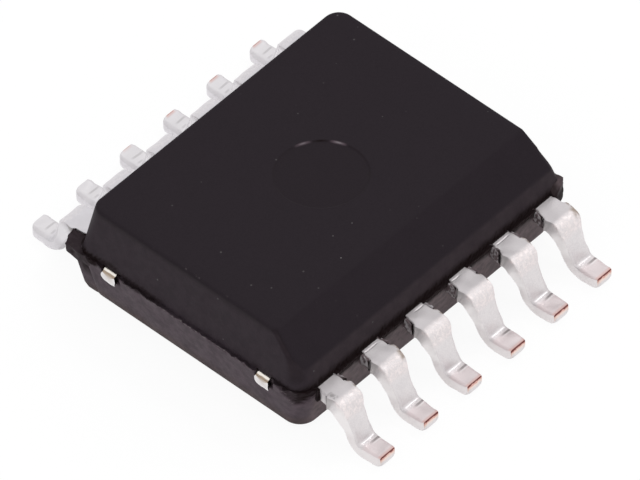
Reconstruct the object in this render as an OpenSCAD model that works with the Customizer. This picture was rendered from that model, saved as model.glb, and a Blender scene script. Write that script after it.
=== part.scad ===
// Surface-mount integrated circuit: a moulded small-outline package with two rows of gull-wing
// leads, and a die paddle that shows on the underside. Millimetres. The origin is the middle of
// the board plane, X runs across the two rows of leads, Y along them, and Z is up.

/* [Package] */
// Length of the body along the lead rows, at the parting line
body_length = 4.9; // [4.7:0.05:5.4]
// Width of the body between the lead rows, at the parting line
body_width = 3.9; // [3.7:0.05:4.1]
// Height of the top face above the board
top_height = 1.57; // [1.4:0.01:1.9]
// Gap between the board and the underside
standoff = 0.05; // [0.02:0.01:0.1]
// Width over the lead tips
tip_span = 6; // [5.8:0.05:6.6]

/* [Moulding] */
// How far the upper half stands in from the parting line
upper_inset = 0.055; // [0.02:0.005:0.1]
// Draft of the upper half's walls, in degrees
upper_draft = 10; // [5:1:15]
// Corner radius of the upper half at the top face
upper_corner = 0.08; // [0.02:0.01:0.15]
// Bevel on the top edge over the first lead's row
bevel = 0.45; // [0.25:0.01:0.5]
// Draft of the lower half's walls, in degrees
lower_draft = 12; // [5:1:15]
// Corner radius of the lower half at the underside
lower_corner = 0.2; // [0.05:0.01:0.3]
// Thickness of moulding over the leads at the parting line
lead_cover = 0.01; // [0.005:0.005:0.03]
// Radius of the ejector mark on the top face
mark_radius = 0.6; // [0.4:0.05:0.9]
// Depth of the ejector mark
mark_depth = 0.025; // [0.01:0.005:0.05]

/* [Gate and flash] */
// How far the broken gate beside the last lead stands out past the parting line
gate_out = 0.2; // [0.1:0.01:0.25]
// How far the foot of the gate stands out past the underside
gate_foot = 0.1; // [0.05:0.01:0.14]
// How far the flash in the opposite corner stands out past the parting line
flash_out = 0.03; // [0.01:0.01:0.08]
// How far gate and flash stand out past the ends of the parting line
flash_past = 0.025; // [0.01:0.005:0.05]
// How much further in the tips of gate and flash lie than their sides beside the lead
flash_slant = 0.1; // [0.05:0.01:0.1]
// How far back gate and flash are rooted in the lower half
flash_root = 0.25; // [0.2:0.01:0.4]
// Gap between gate or flash and the end lead
flash_gap = 0.025; // [0.01:0.005:0.06]

/* [Leads] */
// Distance from one lead to the next
pitch = 0.8; // [0.65:0.05:1]
// Least length of body past the middle of an end lead, which sets how many leads a row holds
end_cover = 0.4; // [0.38:0.01:0.5]
// Thickness of the copper strip that leads and paddle are stamped from
strip = 0.21; // [0.15:0.01:0.25]
// Height of the leads' upper side where they leave the body
lead_height = 0.8; // [0.7:0.01:0.9]
// Width of a lead where it leaves the body
shoulder_width = 0.33; // [0.28:0.01:0.4]
// Width of a lead's foot
foot_width = 0.28; // [0.2:0.01:0.36]
// Length of the foot, from the outside of the leg to the tip
foot_length = 0.43; // [0.35:0.01:0.6]
// Lean of the leg from upright, in degrees
leg_lean = 9; // [3:1:15]
// Width across the stubs of the dam bar
stub_width = 0.44; // [0.4:0.01:0.5]
// Length of the dam bar's stubs along the lead
stub_length = 0.26; // [0.15:0.01:0.3]
// Height over which the leg narrows from the stubs to the foot
leg_taper = 0.15; // [0.08:0.01:0.25]
// Radius outside the upper bend
knee_outer = 0.2; // [0.1:0.01:0.25]
// Radius inside the upper bend
knee_inner = 0.06; // [0.03:0.01:0.15]
// Radius outside the lower bend
heel_outer = 0.3; // [0.15:0.01:0.35]
// Radius inside the lower bend
heel_inner = 0.11; // [0.05:0.01:0.2]
// Radius of the tip's lower edge
tip_edge = 0.08; // [0.03:0.01:0.12]

/* [Bond fingers] */
// Width of a lead's inner end
finger_width = 0.5; // [0.4:0.01:0.55]
// Length of the wide inner end
finger_length = 0.2; // [0.12:0.01:0.24]
// Length over which the inner end narrows to the shoulder
finger_taper = 0.05; // [0.03:0.01:0.08]
// Gap between the inner ends and the tie bars
finger_gap = 0.15; // [0.08:0.01:0.2]

/* [Die paddle] */
// Width of the face that shows on the underside
pad_width = 2.4; // [1.9:0.05:2.5]
// Length of the face that shows on the underside
pad_length = 3.7; // [3.4:0.05:3.8]
// How far the paddle's upper rim stands out at its ends, to key it into the moulding
pad_rim = 0.05; // [0.03:0.01:0.08]
// Distance of a tie bar's middle from the package's middle
tie_offset = 1.31; // [1.28:0.01:1.36]
// Width of a tie bar
tie_width = 0.21; // [0.12:0.01:0.24]
// Length over which a tie bar climbs from the paddle to the leads' plane
tie_climb = 0.3; // [0.25:0.01:0.36]
// How far a tie bar's cut end stands out of the parting line
tie_proud = 0.01; // [0.005:0.005:0.03]

/* [Chip and wires] */
// Width of the chip, across the leads
die_width = 1.6; // [1:0.1:2]
// Length of the chip, along the leads
die_length = 2.4; // [1.6:0.1:3]
// Thickness of the chip
die_thickness = 0.25; // [0.15:0.01:0.3]
// Thickness of the bond layer under the chip
attach_thickness = 0.03; // [0.02:0.005:0.06]
// How far the bond layer shows around the chip
attach_margin = 0.04; // [0.02:0.01:0.1]
// Diameter of a bond wire
wire_diameter = 0.05; // [0.03:0.005:0.06]
// Diameter of the bond at each end of a wire
bond_diameter = 0.1; // [0.08:0.01:0.12]
// Height of the bond at each end of a wire
bond_height = 0.02; // [0.01:0.005:0.03]
// Height of a wire's loop over the line between its ends
loop_height = 0.3; // [0.25:0.01:0.4]
// Distance of the wires' bonds from the chip's edges
bond_inset = 0.12; // [0.08:0.01:0.2]

/* [Hidden] */
$fn = 64;
arc_steps = 8;
wire_sides = 8;
wire_steps = 8;
overshoot = 1;

parting = lead_height + lead_cover;
lead_low = lead_height - strip;
pad_top = standoff + strip;
pad_step = standoff + strip / 2;
die_base = pad_top + attach_thickness;
die_top = die_base + die_thickness;

upper_x = body_width / 2 - upper_inset;
upper_y = body_length / 2 - upper_inset;
lower_lean = (parting - standoff) * tan(lower_draft);
bevel_foot = top_height - bevel;
bevel_x = upper_x - (bevel_foot - parting) * tan(upper_draft);

row = floor((body_length - 2 * end_cover) / pitch) + 1;
finger_x = tie_offset + tie_width / 2 + finger_gap;
heel_x = tip_span / 2 - foot_length;
knee_x = heel_x - lead_low * tan(leg_lean);
end_lead_y = (row - 1) / 2 * pitch;
flash_length = body_length / 2 - end_lead_y - shoulder_width / 2 - flash_gap;

function unit(v) = v / norm(v);

// Points on an arc of radius r that rounds the corner b between a and c
function corner_arc(a, b, c, r) =
    let (
        to_a = unit(a - b),
        to_c = unit(c - b),
        half = acos(to_a * to_c) / 2,
        middle = b + unit(to_a + to_c) * r / sin(half),
        from_b = b - middle,
        facing = atan2(from_b.y, from_b.x),
        turn = to_a.x * to_c.y > to_a.y * to_c.x ? -1 : 1,
        sweep = turn * (180 - 2 * half)
    )
    [for (i = [0:arc_steps])
        let (angle = facing + sweep * (i / arc_steps - 0.5))
        middle + r * [cos(angle), sin(angle)]];

// A closed outline from [corner, radius] pairs, with an arc at each corner that has a radius
function rounded(corners) =
    let (n = len(corners))
    [for (i = [0:n - 1])
        let (at = corners[i][0], r = corners[i][1])
        each r > 0 ? corner_arc(corners[(i + n - 1) % n][0], at, corners[(i + 1) % n][0], r) : [at]];

// A closed outline, mirrored about its first axis, from [place, half width] pairs
function both_sides(half) =
    concat(half, [for (i = [len(half) - 1:-1:0]) [half[i].x, -half[i].y]]);

// A lead's place along its row, for its number from 0
function lead_y(i) = i * pitch - end_lead_y;

// Where the inside of the leg lies at a height
function leg_inside(z) = heel_x + (strip - z) * tan(leg_lean) - strip / cos(leg_lean);

// The lead seen along its row, from its inner end to its tip
lead_side = rounded([
    [[finger_x, lead_low], 0],
    [[finger_x, lead_height], 0],
    [[knee_x, lead_height], knee_outer],
    [[heel_x, strip], heel_inner],
    [[tip_span / 2, strip], 0],
    [[tip_span / 2, 0], tip_edge],
    [[leg_inside(0), 0], heel_outer],
    [[leg_inside(lead_low), lead_low], knee_inner]
]);

// The lead seen from above, as half widths along its length
lead_plan = both_sides([
    [finger_x, finger_width / 2],
    [finger_x + finger_length, finger_width / 2],
    [finger_x + finger_length + finger_taper, shoulder_width / 2],
    [knee_x - stub_length, shoulder_width / 2],
    [knee_x - stub_length, stub_width / 2],
    [knee_x, stub_width / 2],
    [heel_x, foot_width / 2],
    [tip_span / 2, foot_width / 2]
]);

// The lead seen from its tip, as half widths up its height
lead_front = [for (p = both_sides([
    [0, foot_width / 2],
    [lead_low - leg_taper, foot_width / 2],
    [lead_low, max(stub_width, finger_width) / 2],
    [lead_height, max(stub_width, finger_width) / 2]
])) [p.y, p.x]];

// Stretches an outline in X and Z along Y
module along_y(length) {
    rotate([90, 0, 0]) linear_extrude(length, center = true) children();
}

// Stretches an outline in Y and Z along X
module along_x(length) {
    rotate([90, 0, 90]) linear_extrude(length, center = true) children();
}

// A block that narrows upwards by its draft, with conical corners. The half sizes are at its
// foot, and the corner radius at its narrow end
module drafted_block(half_x, half_y, height, draft, corner) {
    lean = height * tan(draft);
    corner_x = half_x - lean - corner;
    corner_y = half_y - lean - corner;
    along_y(2 * corner_y) drafted_side(half_x, height, lean);
    along_x(2 * corner_x) drafted_side(half_y, height, lean);
    for (x = [-corner_x, corner_x], y = [-corner_y, corner_y])
        translate([x, y, 0]) cylinder(height, corner + lean, corner);
}

// Seen from the side, a block that leans in on both sides
module drafted_side(half, height, lean) {
    polygon([[-half, 0], [half, 0], [half - lean, height], [lean - half, height]]);
}

// The body's upper half: bevelled over the first row of leads, with the ejector mark on top
module upper_half() {
    difference() {
        translate([0, 0, parting])
            drafted_block(upper_x, upper_y, top_height - parting, upper_draft, upper_corner);
        along_y(body_length + overshoot) polygon([
            [bevel_x + overshoot, bevel_foot - overshoot],
            [bevel_x - bevel - overshoot, top_height + overshoot],
            [bevel_x + overshoot, top_height + overshoot]
        ]);
        translate([0, 0, top_height - mark_depth]) cylinder(mark_depth + overshoot, r = mark_radius);
    }
}

// The body's lower half, which narrows downwards from the parting line just over the leads
module lower_half() {
    translate([0, 0, parting]) mirror([0, 0, 1])
        drafted_block(body_width / 2, body_length / 2, parting - standoff, lower_draft, lower_corner);
}

// Seen from above, what is left in a corner of the parting line, outside the end lead
module corner_plan(out) {
    polygon([
        [-flash_root, -flash_length],
        [out, -flash_length],
        [out - flash_slant, flash_past],
        [-flash_root / 2, flash_past / 2],
        [-flash_root, 0]
    ]);
}

// The flash in the corner beside the first row's last lead, as thick as the strip
module corner_flash() {
    translate([body_width / 2, body_length / 2, lead_low]) linear_extrude(strip) corner_plan(flash_out);
}

// The broken gate in the corner across from the flash: it slopes out from the underside to the
// strip, and its end wall has the lower half's draft
module gate() {
    foot = gate_foot - lower_lean;
    translate([body_width / 2, body_length / 2, 0]) intersection() {
        linear_extrude(lead_height) corner_plan(gate_out);
        along_y(body_length) polygon([
            [-flash_root, standoff],
            [foot, standoff],
            [foot + (lead_low - standoff) * tan(lower_draft), lead_low],
            [gate_out, lead_low + strip / 2],
            [gate_out, lead_height],
            [-flash_root, lead_height]
        ]);
        along_x(body_width) polygon([
            [-flash_length, standoff],
            [-lower_lean, standoff],
            [flash_past, lead_height],
            [-flash_length, lead_height]
        ]);
    }
}

module moulded_body() {
    color([0.17, 0.15, 0.16]) difference() {
        union() {
            upper_half();
            lower_half();
            corner_flash();
            rotate(180) gate();
        }
        exposed_pad();
        die_attach();
        die();
        for (i = [1:2 * row]) {
            lead(i);
            bond_wire(i);
        }
    }
}

// One tie bar, from the paddle's rim at the +Y end up to the leads' plane and out
module tie_bar() {
    rim_y = pad_length / 2 + pad_rim;
    end_y = body_length / 2 + tie_proud;
    along_x(tie_width) polygon([
        [0, pad_step],
        [0, pad_top],
        [rim_y - strip / 2, pad_top],
        [rim_y - strip / 2 + tie_climb, lead_height],
        [end_y, lead_height],
        [end_y, lead_low],
        [rim_y + tie_climb, lead_low],
        [rim_y, pad_step]
    ]);
}

// The die paddle: its lower face shows, and its wider rim and the tie bars are held in the moulding
module exposed_pad() {
    rim_width = 2 * tie_offset + tie_width;
    rim_length = pad_length + 2 * pad_rim;
    color([0.80, 0.79, 0.80]) {
        translate([-pad_width / 2, -pad_length / 2, standoff]) cube([pad_width, pad_length, strip]);
        translate([-rim_width / 2, -rim_length / 2, pad_step]) cube([rim_width, rim_length, strip / 2]);
        for (end = [0, 180], x = [-tie_offset, tie_offset])
            rotate(end) translate([x, 0, 0]) tie_bar();
    }
}

module die_attach() {
    width = die_width + 2 * attach_margin;
    length = die_length + 2 * attach_margin;
    color([0.62, 0.62, 0.60])
        translate([-width / 2, -length / 2, pad_top]) cube([width, length, attach_thickness]);
}

module die() {
    color([0.33, 0.34, 0.40])
        translate([-die_width / 2, -die_length / 2, die_base]) cube([die_width, die_length, die_thickness]);
}

// A lead of the first row, at a place along it
module row_lead(y) {
    translate([0, y, 0]) intersection() {
        along_y(pitch) polygon(lead_side);
        linear_extrude(lead_height) polygon(lead_plan);
        along_x(tip_span) polygon(lead_front);
    }
}

// Leads are numbered round the package: the second row is the first one turned half round
module lead(number) {
    i = number - 1;
    color([0.84, 0.82, 0.83]) rotate(i < row ? 0 : 180) row_lead(lead_y(i % row));
}

// One ring of a wire as points: at a distance along its run and a height over the chip, with the
// wire heading up at an angle
function wire_ring(along, height, heading, diameter) =
    [for (k = [0:wire_sides - 1])
        let (
            around = 360 * (k + 0.5) / wire_sides,
            lift = cos(around) * diameter / 2
        )
        [along - lift * sin(heading), sin(around) * diameter / 2, height + lift * cos(heading)]];

// A wire as a closed skin of rings. It starts upright from the chip and comes down upright on the
// lead: half an ellipse, between two flat bonds
module wire_skin(run, rise) {
    rings = concat(
        [wire_ring(0, 0, 90, bond_diameter), wire_ring(0, bond_height, 90, bond_diameter)],
        [for (i = [0:wire_steps])
            let (
                turn = 180 * i / wire_steps,
                along = run * (1 - cos(turn)) / 2,
                height = bond_height + rise * i / wire_steps + loop_height * sin(turn),
                heading = atan2(rise / PI + loop_height * cos(turn), run / 2 * sin(turn))
            )
            wire_ring(along, height, heading, wire_diameter)],
        [wire_ring(run, rise + bond_height, -90, bond_diameter), wire_ring(run, rise, -90, bond_diameter)]
    );
    last = len(rings) - 1;
    polyhedron(
        points = [for (ring = rings) each ring],
        faces = concat(
            [[for (k = [0:wire_sides - 1]) k]],
            [for (j = [0:last - 1], k = [0:wire_sides - 1], half = [0, 1])
                let (
                    a = j * wire_sides + k,
                    b = j * wire_sides + (k + 1) % wire_sides
                )
                half == 0 ? [a, a + wire_sides, b] : [b, a + wire_sides, b + wire_sides]],
            [[for (k = [wire_sides - 1:-1:0]) last * wire_sides + k]]
        )
    );
}

// A wire of the first row, from the chip's edge to the lead's inner end
module row_wire(i) {
    y_share = (die_length / 2 - bond_inset) / end_lead_y;
    start = [die_width / 2 - bond_inset, lead_y(i) * y_share];
    end = [finger_x + finger_length / 2, lead_y(i)];
    across = end - start;
    translate([start.x, start.y, die_top]) rotate(atan2(across.y, across.x))
        wire_skin(norm(across), lead_height - die_top);
}

module bond_wire(number) {
    i = number - 1;
    color([0.86, 0.66, 0.32]) rotate(i < row ? 0 : 180) row_wire(i % row);
}

moulded_body();
exposed_pad();
die_attach();
die();
for (i = [1:2 * row]) {
    lead(i);
    bond_wire(i);
}
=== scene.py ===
"""Looks of a twelve-lead surface-mount circuit package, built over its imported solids.

The classes hold their sizes in millimetres, and a mesh gets metres when it is made. The origin is
the middle of the board plane, X runs across the two rows of leads, Y along them, and Z is up.
"""
import logging
import math
from dataclasses import dataclass, field
from enum import Enum, IntEnum

import bpy
import numpy as np
from mathutils import Matrix, Vector


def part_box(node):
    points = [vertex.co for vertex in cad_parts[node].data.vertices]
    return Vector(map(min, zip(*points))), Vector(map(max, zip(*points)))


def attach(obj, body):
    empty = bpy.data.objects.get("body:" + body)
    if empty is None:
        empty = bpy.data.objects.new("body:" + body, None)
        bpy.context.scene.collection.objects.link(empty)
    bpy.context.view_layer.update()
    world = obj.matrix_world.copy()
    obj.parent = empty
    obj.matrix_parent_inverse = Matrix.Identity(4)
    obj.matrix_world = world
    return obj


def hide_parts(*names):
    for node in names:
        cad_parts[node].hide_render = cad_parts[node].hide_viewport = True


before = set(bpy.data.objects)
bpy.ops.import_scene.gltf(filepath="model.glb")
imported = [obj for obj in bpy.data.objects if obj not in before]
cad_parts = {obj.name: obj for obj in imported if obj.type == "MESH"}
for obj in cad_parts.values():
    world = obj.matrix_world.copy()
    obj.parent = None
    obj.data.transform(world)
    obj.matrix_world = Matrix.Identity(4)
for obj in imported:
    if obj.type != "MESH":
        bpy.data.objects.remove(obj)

MM = 0.001
QUARTER = math.pi / 2
LUMP_WAVES = 7

log = logging.getLogger("package")
Colour = tuple[float, float, float]
Span = tuple[float, float]
Band = tuple[float, float, float]
Value = float | tuple | bpy.types.NodeSocket


class Slot(Enum):
    """The record's material slots that the pieces take their finish from."""

    MOULD = "mould_compound"
    TIN = "tin_plate"
    BOND = "die_bond"
    SILICON = "silicon"
    WIRE = "bond_wire"


class Row(Enum):
    """The two rows of leads: the second is the first one turned half round."""

    FIRST = 1
    SECOND = -1


class Seed(IntEnum):
    """Where the random draws of each pattern of lumps start."""

    RIM_WIDE = 3
    RIM_FINE = 4
    RIM_HEIGHT = 5
    SOOT_FINE = 6
    CHIP_WIDE = 7
    CHIP_DEPTH = 8
    SOOT_WIDE = 9
    SOOT_TONE = 10
    CHIP_FINE = 11
    EDGE_LINE = 12
    GATE = 20
    GATE_TONE = 27
    FLASH = 30
    WEBS = 40
    LEADS = 60
    TIE_BARS = 110


@dataclass
class Surface:
    """A mesh in the making.

    points are in millimetres, quads and fans index them, and place holds three numbers for each
    point, which a finish may read.
    """

    points: np.ndarray
    quads: np.ndarray
    fans: np.ndarray
    place: np.ndarray

    def turned(self, row: Row) -> "Surface":
        """The same surface, turned half round Z for the second row."""
        return Surface(self.points * (row.value, row.value, 1), self.quads, self.fans, self.place)

    def moved(self, offset: tuple[float, float, float]) -> "Surface":
        """The same surface, moved by an offset in millimetres."""
        return Surface(self.points + np.array(offset), self.quads, self.fans, self.place)

    def joined(self, *others: "Surface") -> "Surface":
        """One surface that holds this one and the others.

        Args:
            others: The surfaces to add.

        Returns:
            The surface.
        """
        parts = (self, *others)
        starts = np.cumsum([0] + [len(part.points) for part in parts])
        return Surface(
            np.concatenate([part.points for part in parts]),
            np.concatenate([part.quads + start for part, start in zip(parts, starts)]),
            np.concatenate([part.fans + start for part, start in zip(parts, starts)]),
            np.concatenate([part.place for part in parts]),
        )

    def volume(self) -> float:
        """Six times the enclosed volume.

        Returns:
            A number that is positive where the faces point outwards.
        """
        corners = np.concatenate([self.quads[:, [0, 1, 2]], self.quads[:, [0, 2, 3]], self.fans])
        a, b, c = (self.points[corners[:, k]] for k in range(3))
        return float((a * np.cross(b, c)).sum())

    def outward(self) -> "Surface":
        """Turns the faces outwards.

        Returns:
            The same surface with its faces pointing outwards.
        """
        if self.volume() > 0:
            return self
        return Surface(self.points, self.quads[:, ::-1], self.fans[:, ::-1], self.place)

    def to_object(self, name: str, crease: float) -> bpy.types.Object:
        """Makes the mesh object.

        Args:
            name: The piece's name.
            crease: Angle in degrees past which an edge is shaded sharp.

        Returns:
            The object, linked to the scene, with its place in its mesh.
        """
        mesh = bpy.data.meshes.new(name)
        mesh.from_pydata((self.points * MM).tolist(), [], self.quads.tolist() + self.fans.tolist())
        mesh.attributes.new("place", "FLOAT_VECTOR", "POINT").data.foreach_set("vector", self.place.ravel())
        mesh.polygons.foreach_set("use_smooth", np.ones(len(mesh.polygons), dtype=bool))
        mesh.set_sharp_from_angle(angle=math.radians(crease))
        mesh.update()
        piece = bpy.data.objects.new(name, mesh)
        bpy.context.collection.objects.link(piece)
        return piece


def loft(rings: np.ndarray, place: np.ndarray | None = None) -> Surface:
    """Joins closed rings to a skin: quads between neighbours, and a fan to the middle of each end ring.

    Args:
        rings: Points in millimetres, as ring, point round the ring, axis.
        place: The same layout, with three numbers for the finish.

    Returns:
        The closed surface, facing outwards.
    """
    count, around = rings.shape[:2]
    place = np.zeros_like(rings) if place is None else place
    index = np.arange(count * around).reshape(count, around)
    following = np.roll(index, -1, axis=1)
    quads = np.stack([index[:-1], following[:-1], following[1:], index[1:]], axis=-1).reshape(-1, 4)
    first, last = count * around, count * around + 1
    fans = np.concatenate([
        np.stack([following[0], index[0], np.full(around, first)], axis=-1),
        np.stack([index[-1], following[-1], np.full(around, last)], axis=-1),
    ])
    ends = [rings[0].mean(axis=0), rings[-1].mean(axis=0)]
    end_places = [place[0].mean(axis=0), place[-1].mean(axis=0)]
    points = np.concatenate([rings.reshape(-1, 3), ends])
    return Surface(points, quads, fans, np.concatenate([place.reshape(-1, 3), end_places])).outward()


def rounded_rings(low: np.ndarray, high: np.ndarray, radii: np.ndarray, arc: int, sides: tuple) -> np.ndarray:
    """Rectangles with an arc at each corner, counter-clockwise from the arc at the high corner.

    Args:
        low: Lowest corner of each ring, as ring, axis.
        high: Highest corner of each ring.
        radii: Four corner radii of each ring, counter-clockwise from the high corner.
        arc: Steps in an arc.
        sides: Points inside each of the four sides that follow the arcs.

    Returns:
        Points as ring, point round the ring, two axes.
    """
    inward = np.array([[-1, -1], [1, -1], [1, 1], [-1, 1]])
    corners = np.where(inward < 0, high[:, None], low[:, None])
    centres = corners + inward * radii[..., None]
    turn = np.linspace(0, QUARTER, arc + 1) + np.arange(4)[:, None] * QUARTER
    spokes = np.stack([np.cos(turn), np.sin(turn)], axis=-1)
    arcs = centres[:, :, None] + radii[..., None, None] * spokes
    starts, ends = arcs[:, :, -1], np.roll(arcs[:, :, 0], -1, axis=1)
    stretches = []
    for side, count in enumerate(sides):
        share = np.linspace(0, 1, count + 2)[1:-1, None]
        stretches += [arcs[:, side], starts[:, side, None] * (1 - share) + ends[:, side, None] * share]
    return np.concatenate(stretches, axis=1)


def ring_facing(arc: int, sides: tuple) -> np.ndarray:
    """Outward directions round a rounded ring: turning along an arc, and square to a side.

    Args:
        arc: Steps in a corner.
        sides: Points on each side.

    Returns:
        Directions as point round the ring, two axes.
    """
    angles = []
    for side, count in enumerate(sides):
        angles += [np.linspace(0, QUARTER, arc + 1) + side * QUARTER, np.full(count, (side + 1) * QUARTER)]
    angle = np.concatenate(angles)
    return np.stack([np.cos(angle), np.sin(angle)], axis=-1)


def polygon_rings(corners: np.ndarray, steps: int) -> np.ndarray:
    """Closed outlines with straight sides: each side is cut into equal steps.

    Args:
        corners: Corners of each ring, as ring, corner, two axes.
        steps: Steps in a side.

    Returns:
        Points as ring, point round the ring, two axes.
    """
    share = (np.arange(steps) / steps)[:, None]
    points = corners[:, :, None] * (1 - share) + np.roll(corners, -1, axis=1)[:, :, None] * share
    return points.reshape(len(corners), -1, 2)


def lifted(flat: np.ndarray, z: np.ndarray) -> np.ndarray:
    """Flat rings, each lifted to its height."""
    return np.concatenate([flat, np.broadcast_to(z[:, None, None], (*flat.shape[:2], 1))], axis=-1)


def between(first: np.ndarray, last: np.ndarray, *shares: float) -> np.ndarray:
    """Rings between two others, at shares of the way from the first to the last."""
    share = np.array(shares)[:, None, None]
    return first * (1 - share) + last * share


def lumps(points: np.ndarray, size: float, seed: int) -> np.ndarray:
    """Soft lumps in space: a sum of plane waves in random directions.

    Args:
        points: Where, with three axes last.
        size: About how long a wave is.
        seed: Where the random draws start.

    Returns:
        The sum at each point, near -1 to 1.
    """
    draw = np.random.default_rng(int(seed))
    directions = draw.normal(size=(3, LUMP_WAVES))
    directions /= np.linalg.norm(directions, axis=0)
    rates = 2 * math.pi / size * draw.uniform(0.6, 1.7, LUMP_WAVES)
    phases = draw.uniform(0, 2 * math.pi, LUMP_WAVES)
    return np.sin(points @ (directions * rates) + phases).sum(axis=-1) / math.sqrt(LUMP_WAVES)


def pushes(points: np.ndarray, size: float, seed: int) -> np.ndarray:
    """A push along each of the three axes, by lumps of its own."""
    return np.stack([lumps(points, size, seed + axis) for axis in range(3)], axis=-1)


def step(value: np.ndarray, low: float, high: float) -> np.ndarray:
    """Smooth step: 0 below low, 1 above high, and a cubic between."""
    share = np.clip((value - low) / (high - low), 0, 1)
    return share * share * (3 - 2 * share)


def bump(value: np.ndarray, middle: float, half: float) -> np.ndarray:
    """Smooth bump: 1 at the middle, and 0 from half away."""
    return 1 - step(np.abs(value - middle), 0, half)


@dataclass(frozen=True)
class Corner:
    """A corner of a bent line: where it lies, its radius, and the steps on the straight that follows."""

    x: float
    z: float
    radius: float
    steps: int


def bent_line(corners: list[Corner], arc: int) -> np.ndarray:
    """A line through corners, straight between them, with an arc of its radius where a corner has one.

    An arc starts and ends at radius times the tangent of half the turn from its corner.

    Args:
        corners: The line's corners.
        arc: Steps in an arc.

    Returns:
        Points as station, two axes.
    """
    spots = np.array([(corner.x, corner.z) for corner in corners])
    heads = np.diff(spots, axis=0)
    heads /= np.linalg.norm(heads, axis=1)[:, None]
    arcs = [spots[:1]]
    for here, head, onward, corner in zip(spots[1:-1], heads, heads[1:], corners[1:-1]):
        turn = math.atan2(head[0] * onward[1] - head[1] * onward[0], head @ onward)
        reach = corner.radius * math.tan(abs(turn) / 2)
        swept = np.linspace(0, turn, arc + 1)[:, None] if corner.radius else np.zeros((1, 1))
        left = np.array([-head[1], head[0]]) * math.copysign(1, turn)
        hub = here - head * reach + left * corner.radius
        arcs.append(hub - left * corner.radius * np.cos(swept) + head * corner.radius * np.sin(np.abs(swept)))
    arcs.append(spots[-1:])
    stretches = []
    for before, after, corner in zip(arcs, arcs[1:], corners):
        share = (np.arange(1, corner.steps) / corner.steps)[:, None]
        stretches += [before, before[-1] * (1 - share) + after[0] * share]
    return np.concatenate(stretches + [arcs[-1]])


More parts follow.
